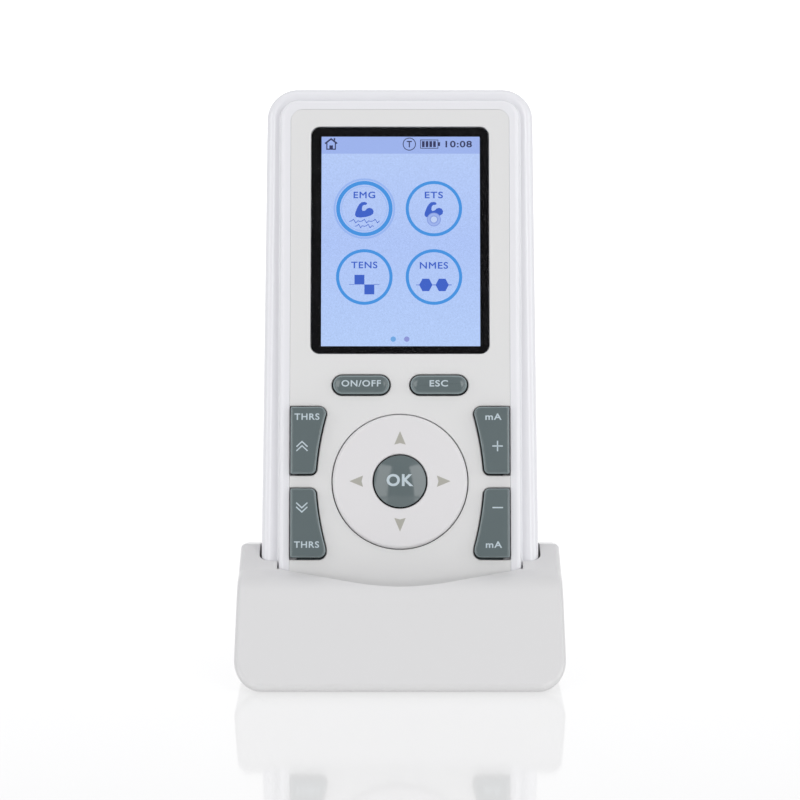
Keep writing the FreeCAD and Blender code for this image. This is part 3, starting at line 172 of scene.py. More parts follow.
BASE_COLOUR = (0.60, 0.60, 0.62, 1)
RUBBER_COLOUR = (0.035, 0.035, 0.038, 1)
STEEL_COLOUR = (0.56, 0.56, 0.58, 1)
GRAIN_SHARE = 0.12           # how much the fine grain adds to the slow drift of gloss
GLOSS_FROM, GLOSS_TO = 0.35, 0.75
SMOOTH_ANGLE = radians(32)
FLAT_ANGLE = radians(0.6)
WELD = 0.002 * MM


def grain_group():
    """Shared surface grain: a slow drift of colour and gloss, and a fine texture height."""
    group = bpy.data.node_groups.new("surface_grain", "ShaderNodeTree")
    for name, kind in (("Vector", "NodeSocketVector"), ("Colour", "NodeSocketColor"),
                       ("Drift Colour", "NodeSocketColor"), ("Drift Scale", "NodeSocketFloat"),
                       ("Grain Scale", "NodeSocketFloat"), ("Rough Low", "NodeSocketFloat"),
                       ("Rough High", "NodeSocketFloat")):
        group.interface.new_socket(name=name, in_out="INPUT", socket_type=kind)
    for name, kind in (("Colour", "NodeSocketColor"), ("Roughness", "NodeSocketFloat"),
                       ("Height", "NodeSocketFloat")):
        group.interface.new_socket(name=name, in_out="OUTPUT", socket_type=kind)
    given = group.nodes.new("NodeGroupInput")
    result = group.nodes.new("NodeGroupOutput")
    link = group.links.new
    drift = group.nodes.new("ShaderNodeTexNoise")
    drift.inputs["Detail"].default_value = 3
    link(given.outputs["Vector"], drift.inputs["Vector"])
    link(given.outputs["Drift Scale"], drift.inputs["Scale"])
    grain = group.nodes.new("ShaderNodeTexNoise")
    grain.inputs["Detail"].default_value = 2
    link(given.outputs["Vector"], grain.inputs["Vector"])
    link(given.outputs["Grain Scale"], grain.inputs["Scale"])
    mix = group.nodes.new("ShaderNodeMix")
    mix.data_type = "RGBA"
    link(drift.outputs["Fac"], mix.inputs["Factor"])
    link(given.outputs["Colour"], mix.inputs["A"])
    link(given.outputs["Drift Colour"], mix.inputs["B"])
    both = group.nodes.new("ShaderNodeMath")
    both.operation = "MULTIPLY_ADD"
    both.inputs[1].default_value = GRAIN_SHARE
    link(grain.outputs["Fac"], both.inputs[0])
    link(drift.outputs["Fac"], both.inputs[2])
    rough = group.nodes.new("ShaderNodeMapRange")
    rough.inputs["From Min"].default_value = GLOSS_FROM
    rough.inputs["From Max"].default_value = GLOSS_TO
    link(both.outputs["Value"], rough.inputs["Value"])
    link(given.outputs["Rough Low"], rough.inputs["To Min"])
    link(given.outputs["Rough High"], rough.inputs["To Max"])
    link(mix.outputs["Result"], result.inputs["Colour"])
    link(rough.outputs["Result"], result.inputs["Roughness"])
    link(grain.outputs["Fac"], result.inputs["Height"])
    return group


GRAIN = grain_group()
DRIFT_SIZE = 40 * MM


def grained(name, colour, drift_colour, rough, grain_size, grain_depth, **settings):
    """A moulded or cast finish: colour drift, uneven gloss and a fine raised grain."""
    material, shader = new_material(name, colour, rough[0], **settings)
    tree = material.node_tree
    place = tree.nodes.new("ShaderNodeTexCoord")
    grain = tree.nodes.new("ShaderNodeGroup")
    grain.node_tree = GRAIN
    tree.links.new(place.outputs["Object"], grain.inputs["Vector"])
    grain.inputs["Colour"].default_value = colour
    grain.inputs["Drift Colour"].default_value = drift_colour
    grain.inputs["Drift Scale"].default_value = 1 / DRIFT_SIZE
    grain.inputs["Grain Scale"].default_value = 1 / grain_size
    grain.inputs["Rough Low"].default_value = rough[0]
    grain.inputs["Rough High"].default_value = rough[1]
    bump = tree.nodes.new("ShaderNodeBump")
    bump.inputs["Strength"].default_value = 1.0
    bump.inputs["Distance"].default_value = grain_depth
    tree.links.new(grain.outputs["Height"], bump.inputs["Height"])
    tree.links.new(grain.outputs["Colour"], shader.inputs["Base Color"])
    tree.links.new(grain.outputs["Roughness"], shader.inputs["Roughness"])
    tree.links.new(bump.outputs["Normal"], shader.inputs["Normal"])
    return material


def dress(node, material):
    """Give a CAD node its finish."""
    slots = nodes[node].data.materials
    slots.clear()
    slots.append(material)


def skin(node, body, material, edge, shape=None):
    """A copy of a CAD node's surface with welded seams, smooth curves and softened edges."""
    bm = bmesh.new()
    bm.from_mesh(nodes[node].data)
    bmesh.ops.remove_doubles(bm, verts=bm.verts, dist=WELD)
    bmesh.ops.dissolve_limit(bm, angle_limit=FLAT_ANGLE, verts=bm.verts, edges=bm.edges)
    if shape:
        shape(bm)
    for face in bm.faces:
        face.smooth = True
    for seam in bm.edges:
        seam.smooth = len(seam.link_faces) != 2 or seam.calc_face_angle(0) < SMOOTH_ANGLE
    piece = add_object(node + "_finish", mesh_from(bm, node + "_finish"))
    piece.data.materials.append(material)
    bevel = piece.modifiers.new("softened_edges", "BEVEL")
    bevel.width = edge
    bevel.segments = 2
    bevel.limit_method = "ANGLE"
    bevel.angle_limit = SMOOTH_ANGLE
    bevel.use_clamp_overlap = True
    bevel.harden_normals = True
    flats = piece.modifiers.new("flat_faces_stay_flat", "WEIGHTED_NORMAL")
    flats.keep_sharp = True
    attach(piece, body)
    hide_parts(node)


base_plastic = grained("base_plastic", BASE_COLOUR, (0.57, 0.57, 0.59, 1), (0.48, 0.62),
                       0.25 * MM, 0.02 * MM)
mat_rubber = grained("mat_rubber", RUBBER_COLOUR, (0.05, 0.05, 0.052, 1), (0.75, 0.9),
                     0.5 * MM, 0.06 * MM)
plated_steel = grained("plated_steel", STEEL_COLOUR, (0.48, 0.48, 0.5, 1), (0.22, 0.4),
                       0.12 * MM, 0.004 * MM, Metallic=1.0)
skin("base_plate", "cradle", base_plastic, 0.12 * MM)
skin("foot_mat", "cradle", mat_rubber, 0.2 * MM)
skin("base_screws", "cradle", plated_steel, 0.06 * MM)
dress("ballast_plate", plated_steel)

# ---- Cradle's contacts and inlet -------------------------------------------------------
# Two gold-plated sprung pins stand in a black block under the slot, on a small circuit
# board. A round low-voltage inlet looks out through the back.

SOCKET_COLOUR = (0.016, 0.016, 0.018, 1)
GOLD_COLOUR = (0.80, 0.55, 0.20, 1)
BOARD_COLOUR = (0.012, 0.10, 0.045, 1)

socket_plastic = grained("socket_plastic", SOCKET_COLOUR, (0.026, 0.026, 0.028, 1), (0.35, 0.5),
                         0.2 * MM, 0.01 * MM)
gold_plate = grained("gold_plate", GOLD_COLOUR, (0.72, 0.48, 0.17, 1), (0.16, 0.3),
                     0.1 * MM, 0.003 * MM, Metallic=1.0)
solder_mask = grained("solder_mask", BOARD_COLOUR, (0.016, 0.14, 0.06, 1), (0.25, 0.4),
                      1.5 * MM, 0.01 * MM)
skin("dc_inlet", "cradle", socket_plastic, 0.15 * MM)
skin("inlet_pin", "cradle", gold_plate, 0.1 * MM)
skin("contact_pin_left", "contact_pin_left", gold_plate, 0.05 * MM)
skin("contact_pin_right", "contact_pin_right", gold_plate, 0.05 * MM)
dress("contact_block", socket_plastic)
dress("cradle_board", solder_mask)

# ---- Cradle's shell --------------------------------------------------------------------
# One glossy white moulding: a wedge with a hollow crown, two low ears beside the handset
# and a finger scoop in front of it.

CRADLE_COLOUR = (0.715, 0.712, 0.716, 1)

cradle_gloss = grained("cradle_gloss", CRADLE_COLOUR, (0.705, 0.703, 0.700, 1), (0.28, 0.34),
                       2.4 * MM, 0.0012 * MM)
skin("cradle_shell", "cradle", cradle_gloss, 0.25 * MM)

# ---- Handset's back: shell, battery and door -------------------------------------------
# The rear half of the casing is glossy white. Its battery bay is closed by a door that
# turns on two stubs at its foot and is held by one screw with a coin slot.

CASE_COLOUR = (0.82, 0.82, 0.85, 1)

case_gloss = grained("case_gloss", CASE_COLOUR, (0.81, 0.812, 0.84, 1), (0.09, 0.15),
                     2.6 * MM, 0.0012 * MM)
cell_wrap = grained("cell_wrap", (0.10, 0.12, 0.16, 1), (0.13, 0.15, 0.19, 1), (0.3, 0.45),
                    3 * MM, 0.03 * MM)
skin("rear_shell", "handset", case_gloss, 0.15 * MM)
skin("battery_door", "battery_door", case_gloss, 0.12 * MM)
skin("door_screw", "battery_door", plated_steel, 0.06 * MM)
skin("case_screws", "handset", plated_steel, 0.06 * MM)
skin("battery_pack", "handset", cell_wrap, 0.2 * MM)
dress("battery_contacts", gold_plate)
skin("charge_pads", "handset", gold_plate, 0.06 * MM)

# ---- Circuit board and what it carries -------------------------------------------------
# A green board fills the handset behind the panel. It carries the processor, two output
# transformers, their capacitors, a buzzer and the two lead sockets in the top end.

epoxy = grained("epoxy", (0.02, 0.02, 0.021, 1), (0.03, 0.03, 0.03, 1), (0.5, 0.65),
                0.15 * MM, 0.01 * MM)
ferrite = grained("ferrite", (0.05, 0.045, 0.045, 1), (0.08, 0.07, 0.065, 1), (0.55, 0.8),
                  0.3 * MM, 0.03 * MM)
can_sleeve = grained("can_sleeve", (0.6, 0.6, 0.62, 1), (0.5, 0.5, 0.53, 1), (0.25, 0.4),
                     0.4 * MM, 0.01 * MM, Metallic=1.0)
# painted shade: the silicone under the keys and the ring is near-black so that the gaps round them read
# as shadow
silicone = grained("silicone", (0.030, 0.031, 0.032, 1), (0.045, 0.046, 0.047, 1), (0.6, 0.75),
                   0.4 * MM, 0.02 * MM)
polyimide = grained("polyimide", (0.42, 0.17, 0.03, 1), (0.5, 0.22, 0.05, 1), (0.3, 0.4),
                    0.5 * MM, 0.01 * MM)
for node, finish in (("main_board", solder_mask), ("processor", epoxy), ("output_transformers", ferrite),
                     ("capacitors", can_sleeve), ("buzzer", epoxy), ("board_screws", plated_steel),
                     ("dome_switches", plated_steel), ("keypad_mat", silicone), ("ring_pivot", silicone)):
    dress(node, finish)
skin("lead_socket_left", "handset", socket_plastic, 0.15 * MM)
skin("lead_socket_right", "handset", socket_plastic, 0.15 * MM)

# ---- Display ---------------------------------------------------------------------------
# A lit colour panel in a steel frame lies behind hard-coated glass, whose border is
# printed black. The home screen shows a bar of status signs and four round buttons.

LCD_TOP = (0.50, 0.64, 0.99, 1)
LCD_MIDDLE = (0.455, 0.595, 0.985, 1)
LCD_FOOT = (0.49, 0.65, 1.0, 1)
GLOW_FOOT, GLOW_TOP = 31 * MM, 80 * MM
SPECKLE_SIZE, SPECKLE_DEPTH = 0.35 * MM, 0.16

lift = next(j for j in frame["joints"] if j["name"] == "handset_lift")
rock = next(j for j in frame["joints"] if j["name"] == "ring_rock_up_down")
UP = Vector(lift["axis"]).normalized()
OUT = Vector((0, -UP.z, UP.y))
PIVOT_DEPTH = 3.0 * MM
FILM = 0.012 * MM
DRAWING_WELD = 0.001 * MM
RING_CENTRE = Vector(rock["pos_m"]) + OUT * PIVOT_DEPTH


def face_matrix(x, up, out):
    """From a drawing in the XY plane to a place on the handset's front, about the ring's centre."""
    turn = Matrix(((1, UP.x, OUT.x), (0, UP.y, OUT.y), (0, UP.z, OUT.z))).to_4x4()
    return Matrix.Translation(RING_CENTRE) @ turn @ Matrix.Translation((x, up, out))


def lit(name, colour):
    """A colour that the display gives out."""
    material, shader = new_material(name, (0, 0, 0, 1), 0.6, Specular_IOR_Level=0.0)
    shader.inputs["Emission Color"].default_value = colour
    shader.inputs["Emission Strength"].default_value = 1.0
    return material


def ramp_up_face(tree, low, high, stops):
    """A colour ramp that runs up the handset's face, between two heights from the ring."""
    place = tree.nodes.new("ShaderNodeTexCoord")
    along = tree.nodes.new("ShaderNodeVectorMath")
    along.operation = "DOT_PRODUCT"
    along.inputs[1].default_value = UP
    tree.links.new(place.outputs["Object"], along.inputs[0])
    span = tree.nodes.new("ShaderNodeMapRange")
    span.inputs["From Min"].default_value = RING_CENTRE.dot(UP) + low
    span.inputs["From Max"].default_value = RING_CENTRE.dot(UP) + high
    tree.links.new(along.outputs["Value"], span.inputs["Value"])
    ramp = tree.nodes.new("ShaderNodeValToRGB")
    fill_ramp(ramp, stops)
    tree.links.new(span.outputs["Result"], ramp.inputs["Fac"])
    return ramp


def display_glow():
    """The lit background: a slow vertical shift of blue with a fine speckle."""
    material = lit("display_glow", LCD_MIDDLE)
    tree = material.node_tree
    shader = tree.nodes["Principled BSDF"]
    ramp = ramp_up_face(tree, GLOW_FOOT, GLOW_TOP, ((0, LCD_FOOT), (0.5, LCD_MIDDLE), (1, LCD_TOP)))
    place = tree.nodes.new("ShaderNodeTexCoord")
    speckle = tree.nodes.new("ShaderNodeTexNoise")
    speckle.inputs["Scale"].default_value = 1 / SPECKLE_SIZE
    speckle.inputs["Detail"].default_value = 2
    tree.links.new(place.outputs["Object"], speckle.inputs["Vector"])
    level = tree.nodes.new("ShaderNodeMapRange")
    level.inputs["To Min"].default_value = 1 - SPECKLE_DEPTH
    level.inputs["To Max"].default_value = 1 + SPECKLE_DEPTH
    tree.links.new(speckle.outputs["Fac"], level.inputs["Value"])
    shade = tree.nodes.new("ShaderNodeVectorMath")
    shade.operation = "SCALE"
    tree.links.new(ramp.outputs["Color"], shade.inputs[0])
    tree.links.new(level.outputs["Result"], shade.inputs["Scale"])
    tree.links.new(shade.outputs["Vector"], shader.inputs["Emission Color"])
    return material


def window_glass():
    """Clear hard-coated glass."""
    material, shader = new_material("window_glass", (1, 1, 1, 1), 0.02, IOR=1.45)
    shader.inputs["Transmission Weight"].default_value = 1.0
    return material


def turn_up(bm):
    """Make every face of a flat drawing look the same way, upwards."""
    for face in bm.faces:
        face.normal_update()
        if face.normal.z < 0:
            face.normal_flip()


def thicken(bm, way):
    """Give a drawing its film's thickness, as a closed shell."""
    flat = bm.faces[:]
    rim = [e.verts[:] for e in bm.edges if len(e.link_faces) == 1]
    top = {v: bm.verts.new(v.co + way * FILM) for v in bm.verts[:]}
    for face in flat:
        bm.faces.new([top[v] for v in face.verts])
    for a, b in rim:
        bm.faces.new((a, b, top[b], top[a]))
    bmesh.ops.recalc_face_normals(bm, faces=bm.faces)


def film_piece(bm, name, body, material):
    """Make a finished film a piece of its own on its body."""
    piece = add_object(name, mesh_from(bm, name))
    piece.data.materials.append(material)
    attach(piece, body)


def add_polygon(bm, points):
    """One flat face through a run of points."""
    bm.faces.new([bm.verts.new((px, py, 0)) for px, py in points])


def add_rectangle(bm, x0, x1, y0, y1):
    """A flat rectangle."""
    add_polygon(bm, ((x0, y0), (x1, y0), (x1, y1), (x0, y1)))


def add_band(bm, inner, outer):
    """A flat ring."""
    rings = []
    for radius in (inner, outer):
        drawn = len(bm.edges)
        bmesh.ops.create_circle(bm, segments=96, radius=radius)
        bm.edges.ensure_lookup_table()
        rings += bm.edges[drawn:]
    bmesh.ops.bridge_loops(bm, edges=rings)


def add_stroke(bm, points, width, closed=False):
    """A flat line of even width through a run of points, its joints mitred."""
    points = [Vector(p) for p in points]
    count = len(points)
    sides = []
    for i, point in enumerate(points):
        before = points[i - 1] if closed or i else None
        after = points[(i + 1) % count] if closed or i + 1 < count else None
        runs = [(b - a).normalized() for a, b in ((before, point), (point, after))
                if a is not None and b is not None]
        normals = [Vector((-run.y, run.x)) for run in runs]
        mitre = sum(normals, Vector((0, 0)))
        mitre *= width / 2 * len(normals) / mitre.length_squared
        sides.append([bm.verts.new((*(point + way * mitre), 0)) for way in (-1, 1)])
    if closed:
        sides.append(sides[0])
    for (a, b), (c, d) in zip(sides, sides[1:]):
        bm.faces.new((a, c, d, b))


LEAST_MITRE = 0.6
LETTER_GAP = 1.12
LETTER_WELD = 0.001          # as a share of the font's own size


def embolden(bm, amount):
    """Move the outline of flat letters outwards, except where it folds back sharply."""
    moves = {}
    for edge in bm.edges:
        if len(edge.link_faces) == 1:
            run = (edge.verts[1].co - edge.verts[0].co).normalized()
            away = Vector((run.y, -run.x, 0))
            inside = edge.link_faces[0].calc_center_median() - edge.verts[0].co
            away *= -1 if away.dot(inside) > 0 else 1
            for vertex in edge.verts:
                moves.setdefault(vertex, []).append(away)
    for vertex, aways in moves.items():
        mitre = sum(aways, Vector((0, 0, 0)))
        if mitre.length > LEAST_MITRE:
            vertex.co += mitre * amount * len(aways) / mitre.length_squared


def lettering(words, height, width, weight):
    """Flat letters, centred, of the given height and overall width, as a bmesh.

    The weight is how far the strokes swell, as a share of the font's own size.
    """
    curve = bpy.data.curves.new("letters", "FONT")
    curve.body = words
    curve.size = 1.0
    curve.space_character = LETTER_GAP
    curve.resolution_u = 6
    holder = bpy.data.objects.new("letters", curve)
    scene.collection.objects.link(holder)
    bpy.context.view_layer.update()
    depsgraph = bpy.context.evaluated_depsgraph_get()
    flat = bpy.data.meshes.new_from_object(holder.evaluated_get(depsgraph))
    bpy.data.objects.remove(holder)
    bm = bmesh.new()
    bm.from_mesh(flat)
    bpy.data.meshes.remove(flat)
    bmesh.ops.remove_doubles(bm, verts=bm.verts, dist=LETTER_WELD)
    bmesh.ops.triangulate(bm, faces=bm.faces[:])
    embolden(bm, weight)
    low = min(v.co.y for v in bm.verts)
    tall = max(v.co.y for v in bm.verts) - low
    left = min(v.co.x for v in bm.verts)
    right = max(v.co.x for v in bm.verts)
    bmesh.ops.translate(bm, verts=bm.verts, vec=(-(left + right) / 2, -low - tall / 2, 0))
    bmesh.ops.scale(bm, verts=bm.verts, vec=(width / (right - left), height / tall, 1))
    return bm


dress("lcd_panel", display_glow())
light_guide = grained("light_guide", (0.85, 0.88, 0.9, 1), (0.8, 0.83, 0.86, 1), (0.3, 0.4),
                      0.5 * MM, 0.005 * MM)
printed_black = grained("printed_black", (0.004, 0.004, 0.005, 1), (0.006, 0.006, 0.007, 1), (0.5, 0.6),
                        0.3 * MM, 0.001 * MM, Specular_IOR_Level=0.1)
dress("lcd_backlight", light_guide)
dress("lcd_frame", plated_steel)
dress("lcd_flex", polyimide)
dress("window_mask", printed_black)
GLASS_BACK_GAP = 0.05 * MM


def free_back(bm):
    """Leave a hair of air between the glass and the black print behind it."""
    back = min(v.co.dot(OUT) for v in bm.verts)
    lifted = [v for v in bm.verts if v.co.dot(OUT) < back + GLASS_BACK_GAP]
    bmesh.ops.translate(bm, verts=lifted, vec=OUT * GLASS_BACK_GAP)


skin("display_window", "handset", window_glass(), 0.1 * MM, shape=free_back)

SCREEN_OUT = -1.33 * MM
BAR_BLUE = (0.365, 0.485, 0.90, 1)
RING_BLUE = (0.070, 0.315, 0.80, 1)
INK_BLUE = (0.058, 0.135, 0.61, 1)
STATUS_INK = (0.045, 0.050, 0.125, 1)
HALO_BLUE = (0.345, 0.50, 0.93, 1)
DOT_BLUE, IDLE_DOT = (0.18, 0.42, 0.82, 1), (0.29, 0.33, 0.72, 1)
COIL_BLUE, GLINT_BLUE = (0.26, 0.36, 0.78, 1), (0.56, 0.68, 0.97, 1)

screen_bar = lit("screen_bar", BAR_BLUE)
screen_ring = lit("screen_ring", RING_BLUE)
screen_ink = lit("screen_ink", INK_BLUE)
screen_status = lit("screen_status", STATUS_INK)
screen_halo = lit("screen_halo", HALO_BLUE)
screen_dot = lit("screen_dot", DOT_BLUE)
screen_coil = lit("screen_coil", COIL_BLUE)
screen_glint = lit("screen_glint", GLINT_BLUE)
screen_dot_idle = lit("screen_dot_idle", IDLE_DOT)

SCREEN_LEFT, SCREEN_RIGHT = -18.1 * MM, 18.4 * MM
SCREEN_TOP = 80.35 * MM
BAR_HEIGHT = 4.0 * MM
LAYER = 0.02 * MM


def on_screen(bm, name, x, up, layer, material):
    """Set a drawing on the display, a given number of layers above the lit background."""
    bmesh.ops.remove_doubles(bm, verts=bm.verts, dist=DRAWING_WELD)
    turn_up(bm)
    thicken(bm, Vector((0, 0, 1)))
    bmesh.ops.transform(bm, matrix=face_matrix(x, up, SCREEN_OUT + layer * LAYER), verts=bm.verts)
    film_piece(bm, name, "handset", material)


bm = bmesh.new()
add_rectangle(bm, SCREEN_LEFT, SCREEN_RIGHT, SCREEN_TOP - BAR_HEIGHT, SCREEN_TOP)
on_screen(bm, "status_bar", 0, 0, 0, screen_bar)

STATUS_HEIGHT = SCREEN_TOP - 1.75 * MM
HOME_X, MODE_X, BATTERY_X, CLOCK_X = -15.9 * MM, 2.15 * MM, 6.75 * MM, 13.55 * MM

# home sign: roof, chimney, walls and door
bm = bmesh.new()
add_stroke(bm, ((-1.4 * MM, 0.12 * MM), (0, 1.22 * MM), (1.4 * MM, 0.12 * MM)), 0.36 * MM)
add_stroke(bm, ((-0.98 * MM, 0.3 * MM), (-0.98 * MM, -1.2 * MM),
                (0.98 * MM, -1.2 * MM), (0.98 * MM, 0.3 * MM)), 0.26 * MM)
add_rectangle(bm, 0.6 * MM, 0.95 * MM, 0.85 * MM, 1.4 * MM)
add_rectangle(bm, -0.4 * MM, 0.42 * MM, -1.07 * MM, -0.3 * MM)
on_screen(bm, "home_sign", HOME_X, STATUS_HEIGHT, 1, screen_status)

# battery sign: outline, cap and four bars
bm = bmesh.new()
add_stroke(bm, ((-2.0 * MM, -0.98 * MM), (2.0 * MM, -0.98 * MM),
                (2.0 * MM, 0.98 * MM), (-2.0 * MM, 0.98 * MM)), 0.16 * MM, closed=True)
add_rectangle(bm, 2.08 * MM, 2.5 * MM, -0.45 * MM, 0.45 * MM)
for i in range(4):
    add_rectangle(bm, (-1.68 + i * 0.86) * MM, (-1.06 + i * 0.86) * MM, -0.7 * MM, 0.7 * MM)
on_screen(bm, "battery_sign", BATTERY_X, STATUS_HEIGHT, 1, screen_status)

# mode sign, a letter in a circle, and the clock
bm = bmesh.new()
add_band(bm, 1.33 * MM, 1.52 * MM)
on_screen(bm, "mode_circle", MODE_X, STATUS_HEIGHT, 1, screen_status)
on_screen(lettering("T", 1.5 * MM, 1.2 * MM, 0.02), "mode_letter", MODE_X, STATUS_HEIGHT, 1,
          screen_status)
on_screen(lettering("10:08", 1.55 * MM, 6.1 * MM, 0.022), "clock", CLOCK_X, STATUS_HEIGHT, 1,
          screen_status)

BUTTON_RADIUS = 6.49 * MM
BUTTON_LINE, CHOSEN_LINE = 0.72 * MM, 0.87 * MM
BUTTON_LEFT, BUTTON_RIGHT = -8.2 * MM, 7.8 * MM
BUTTON_UPPER, BUTTON_LOWER = 63.44 * MM, 47.46 * MM
WORD_HEIGHT, WORD_WEIGHT = 1.58 * MM, 0.018

# each button: its program, place, word's width, word's rise and ring's line
buttons = (("EMG", BUTTON_LEFT, BUTTON_UPPER, 5.0 * MM, 3.2 * MM, CHOSEN_LINE),
           ("ETS", BUTTON_RIGHT, BUTTON_UPPER, 4.2 * MM, 3.2 * MM, BUTTON_LINE),
           ("TENS", BUTTON_LEFT, BUTTON_LOWER, 6.0 * MM, 2.8 * MM, BUTTON_LINE),
           ("NMES", BUTTON_RIGHT, BUTTON_LOWER, 6.5 * MM, 2.7 * MM, BUTTON_LINE))
for word, x, up, width, rise, line in buttons:
    bm = bmesh.new()
    add_band(bm, BUTTON_RADIUS - line, BUTTON_RADIUS)
    on_screen(bm, "button_ring_" + word.lower(), x, up, 1, screen_ring)
    on_screen(lettering(word, WORD_HEIGHT, width, WORD_WEIGHT), "button_word_" + word.lower(),
              x, up + rise, 1, screen_ink)

# the chosen button has a faint halo outside its ring and a faint line inside
bm = bmesh.new()
add_band(bm, BUTTON_RADIUS + 0.18 * MM, BUTTON_RADIUS + 0.60 * MM)
add_band(bm, BUTTON_RADIUS - 1.32 * MM, BUTTON_RADIUS - 1.18 * MM)
on_screen(bm, "button_halo", BUTTON_LEFT, BUTTON_UPPER, 1, screen_halo)

ARM_WIDTH, ARM_TALL = 1.06 * MM, 1.08 * MM
ARM_RISE = -0.35 * MM
TRACE_SWINGS = (0.0, 0.1, 0.5, -0.32, 0.15)
TRACE_LINE = 0.15 * MM
COIL_RISE = -2.55 * MM
COIL_RADIUS = 1.6            # of its outermost disc, in mm; each disc inside lies higher


def bent_arm():
    """A bent arm with a raised fist and a round upper arm."""
    bm = bmesh.new()
    outline = [(-2.05, -1.05), (-1.95, -0.45), (-1.55, 0.55), (-1.1, 1.3), (-0.6, 1.72), (0.1, 1.78),
               (0.5, 1.62), (0.58, 1.3), (0.25, 1.12), (-0.15, 1.12), (-0.45, 0.8), (-0.55, 0.15),
               (-0.35, -0.2), (0.15, -0.1), (0.6, 0.35), (1.15, 0.5), (1.7, 0.3), (2.02, -0.2),
               (1.9, -0.8), (1.3, -1.2), (0.3, -1.5), (-0.9, -1.62), (-1.75, -1.5)]
    add_polygon(bm, [(px * ARM_WIDTH, py * ARM_TALL) for px, py in outline])
    bmesh.ops.triangulate(bm, faces=bm.faces[:])
    return bm


# program EMG: an arm over two rows of muscle trace
on_screen(bent_arm(), "arm_sign_emg", BUTTON_LEFT, BUTTON_UPPER + ARM_RISE, 1, screen_ink)
bm = bmesh.new()
for reach, up, count in ((3.5, -3.0, 14), (2.2, -4.15, 10)):
    trace = [((-reach + 2 * reach * i / count) * MM, (up + TRACE_SWINGS[i % len(TRACE_SWINGS)]) * MM)
             for i in range(count + 1)]
    add_stroke(bm, trace, TRACE_LINE)
on_screen(bm, "trace_sign_emg", BUTTON_LEFT, BUTTON_UPPER, 1, screen_ink)

# program ETS: the arm over a small round coil
on_screen(bent_arm(), "arm_sign_ets", BUTTON_RIGHT, BUTTON_UPPER + ARM_RISE, 1, screen_ink)
for name, radius, material in (("coil_sign_edge", COIL_RADIUS, screen_coil),
                               ("coil_sign", 1.42, screen_bar),
                               ("coil_sign_ring", 0.95, screen_coil),
                               ("coil_sign_core", 0.72, screen_glint)):
    bm = bmesh.new()
    bmesh.ops.create_circle(bm, segments=48, radius=radius * MM, cap_ends=True)
    on_screen(bm, name, BUTTON_RIGHT, BUTTON_UPPER + COIL_RISE, 2 + (COIL_RADIUS - radius) * 2, material)

# program TENS: one square pulse up and one down on a thin line
bm = bmesh.new()
add_rectangle(bm, -2.25 * MM, 0.02 * MM, -1.75 * MM, 0.5 * MM)
add_rectangle(bm, 0.02 * MM, 2.3 * MM, -4.05 * MM, -1.75 * MM)
add_rectangle(bm, -3.5 * MM, -2.25 * MM, -1.8 * MM, -1.7 * MM)
add_rectangle(bm, 2.3 * MM, 3.5 * MM, -1.8 * MM, -1.7 * MM)
on_screen(bm, "pulse_sign_tens", BUTTON_LEFT, BUTTON_LOWER, 1, screen_ink)

# program NMES: two hexagons on a thin line
bm = bmesh.new()
bmesh.ops.create_circle(bm, segments=6, radius=1.52 * MM, cap_ends=True)
bmesh.ops.rotate(bm, verts=bm.verts, matrix=Matrix.Rotation(radians(30), 3, "Z"))
bmesh.ops.scale(bm, verts=bm.verts, vec=(1, 1.1, 1))
bmesh.ops.translate(bm, verts=bm.verts, vec=(1.88 * MM, -1.85 * MM, 0))
bmesh.ops.mirror(bm, geom=bm.verts[:] + bm.edges[:] + bm.faces[:], merge_dist=0, axis="X")
for x0, x1 in ((-4.1, -3.35), (-0.4, 0.4), (3.35, 4.1)):
    add_rectangle(bm, x0 * MM, x1 * MM, -1.93 * MM, -1.77 * MM)
on_screen(bm, "pulse_sign_nmes", BUTTON_RIGHT, BUTTON_LOWER, 1, screen_ink)

PAGE_DOT_RADIUS, PAGE_DOT_X, PAGE_DOT_UP = 0.62 * MM, 1.55 * MM, 33.0 * MM
for name, x, material in (("page_dot", -PAGE_DOT_X, screen_dot),
                          ("page_dot_idle", PAGE_DOT_X, screen_dot_idle)):
    bm = bmesh.new()
    bmesh.ops.create_circle(bm, segments=32, radius=PAGE_DOT_RADIUS, cap_ends=True)
    on_screen(bm, name, x, PAGE_DOT_UP, 1, material)

# ---- Front shell and panel -------------------------------------------------------------
# The front half of the casing is the same glossy white. A thin satin panel is bonded
# into the raised plateau round the window and the keys.

PANEL_COLOUR = (0.735, 0.735, 0.735, 1)
LIP_ROUND = 0.3 * MM
LIP_LOW, LIP_HIGH = -22 * MM, 27 * MM
FACE_BAND, RIM_BAND = 0.01 * MM, 0.4 * MM
SEAM_CLOSE = 0.05 * MM
PANEL_CROWN = 79 * MM
SIDE_KEY_INSIDE = 14 * MM
FOOT_LOW, FOOT_HIGH = -18.2 * MM, -15.55 * MM
HOLE_FOOT_DROP = 0.52 * MM

panel_satin = grained("panel_satin", PANEL_COLOUR, (0.725, 0.725, 0.72, 1), (0.38, 0.5),
                      0.18 * MM, 0.002 * MM)
skin("front_shell", "handset", case_gloss, 0.12 * MM)


def height_on_face(point):
    """How far up the handset's face a point lies, from the ring's centre."""
    return (point - RING_CENTRE).dot(UP)


def lengthen_foot(bm, drop):
    """Draw the foot of the two lower side keys, or of their holes, down by a little."""
    feet = [v for v in bm.verts
            if abs(v.co.x) > SIDE_KEY_INSIDE and FOOT_LOW < height_on_face(v.co) < FOOT_HIGH]
    bmesh.ops.translate(bm, verts=feet, vec=UP * -drop)


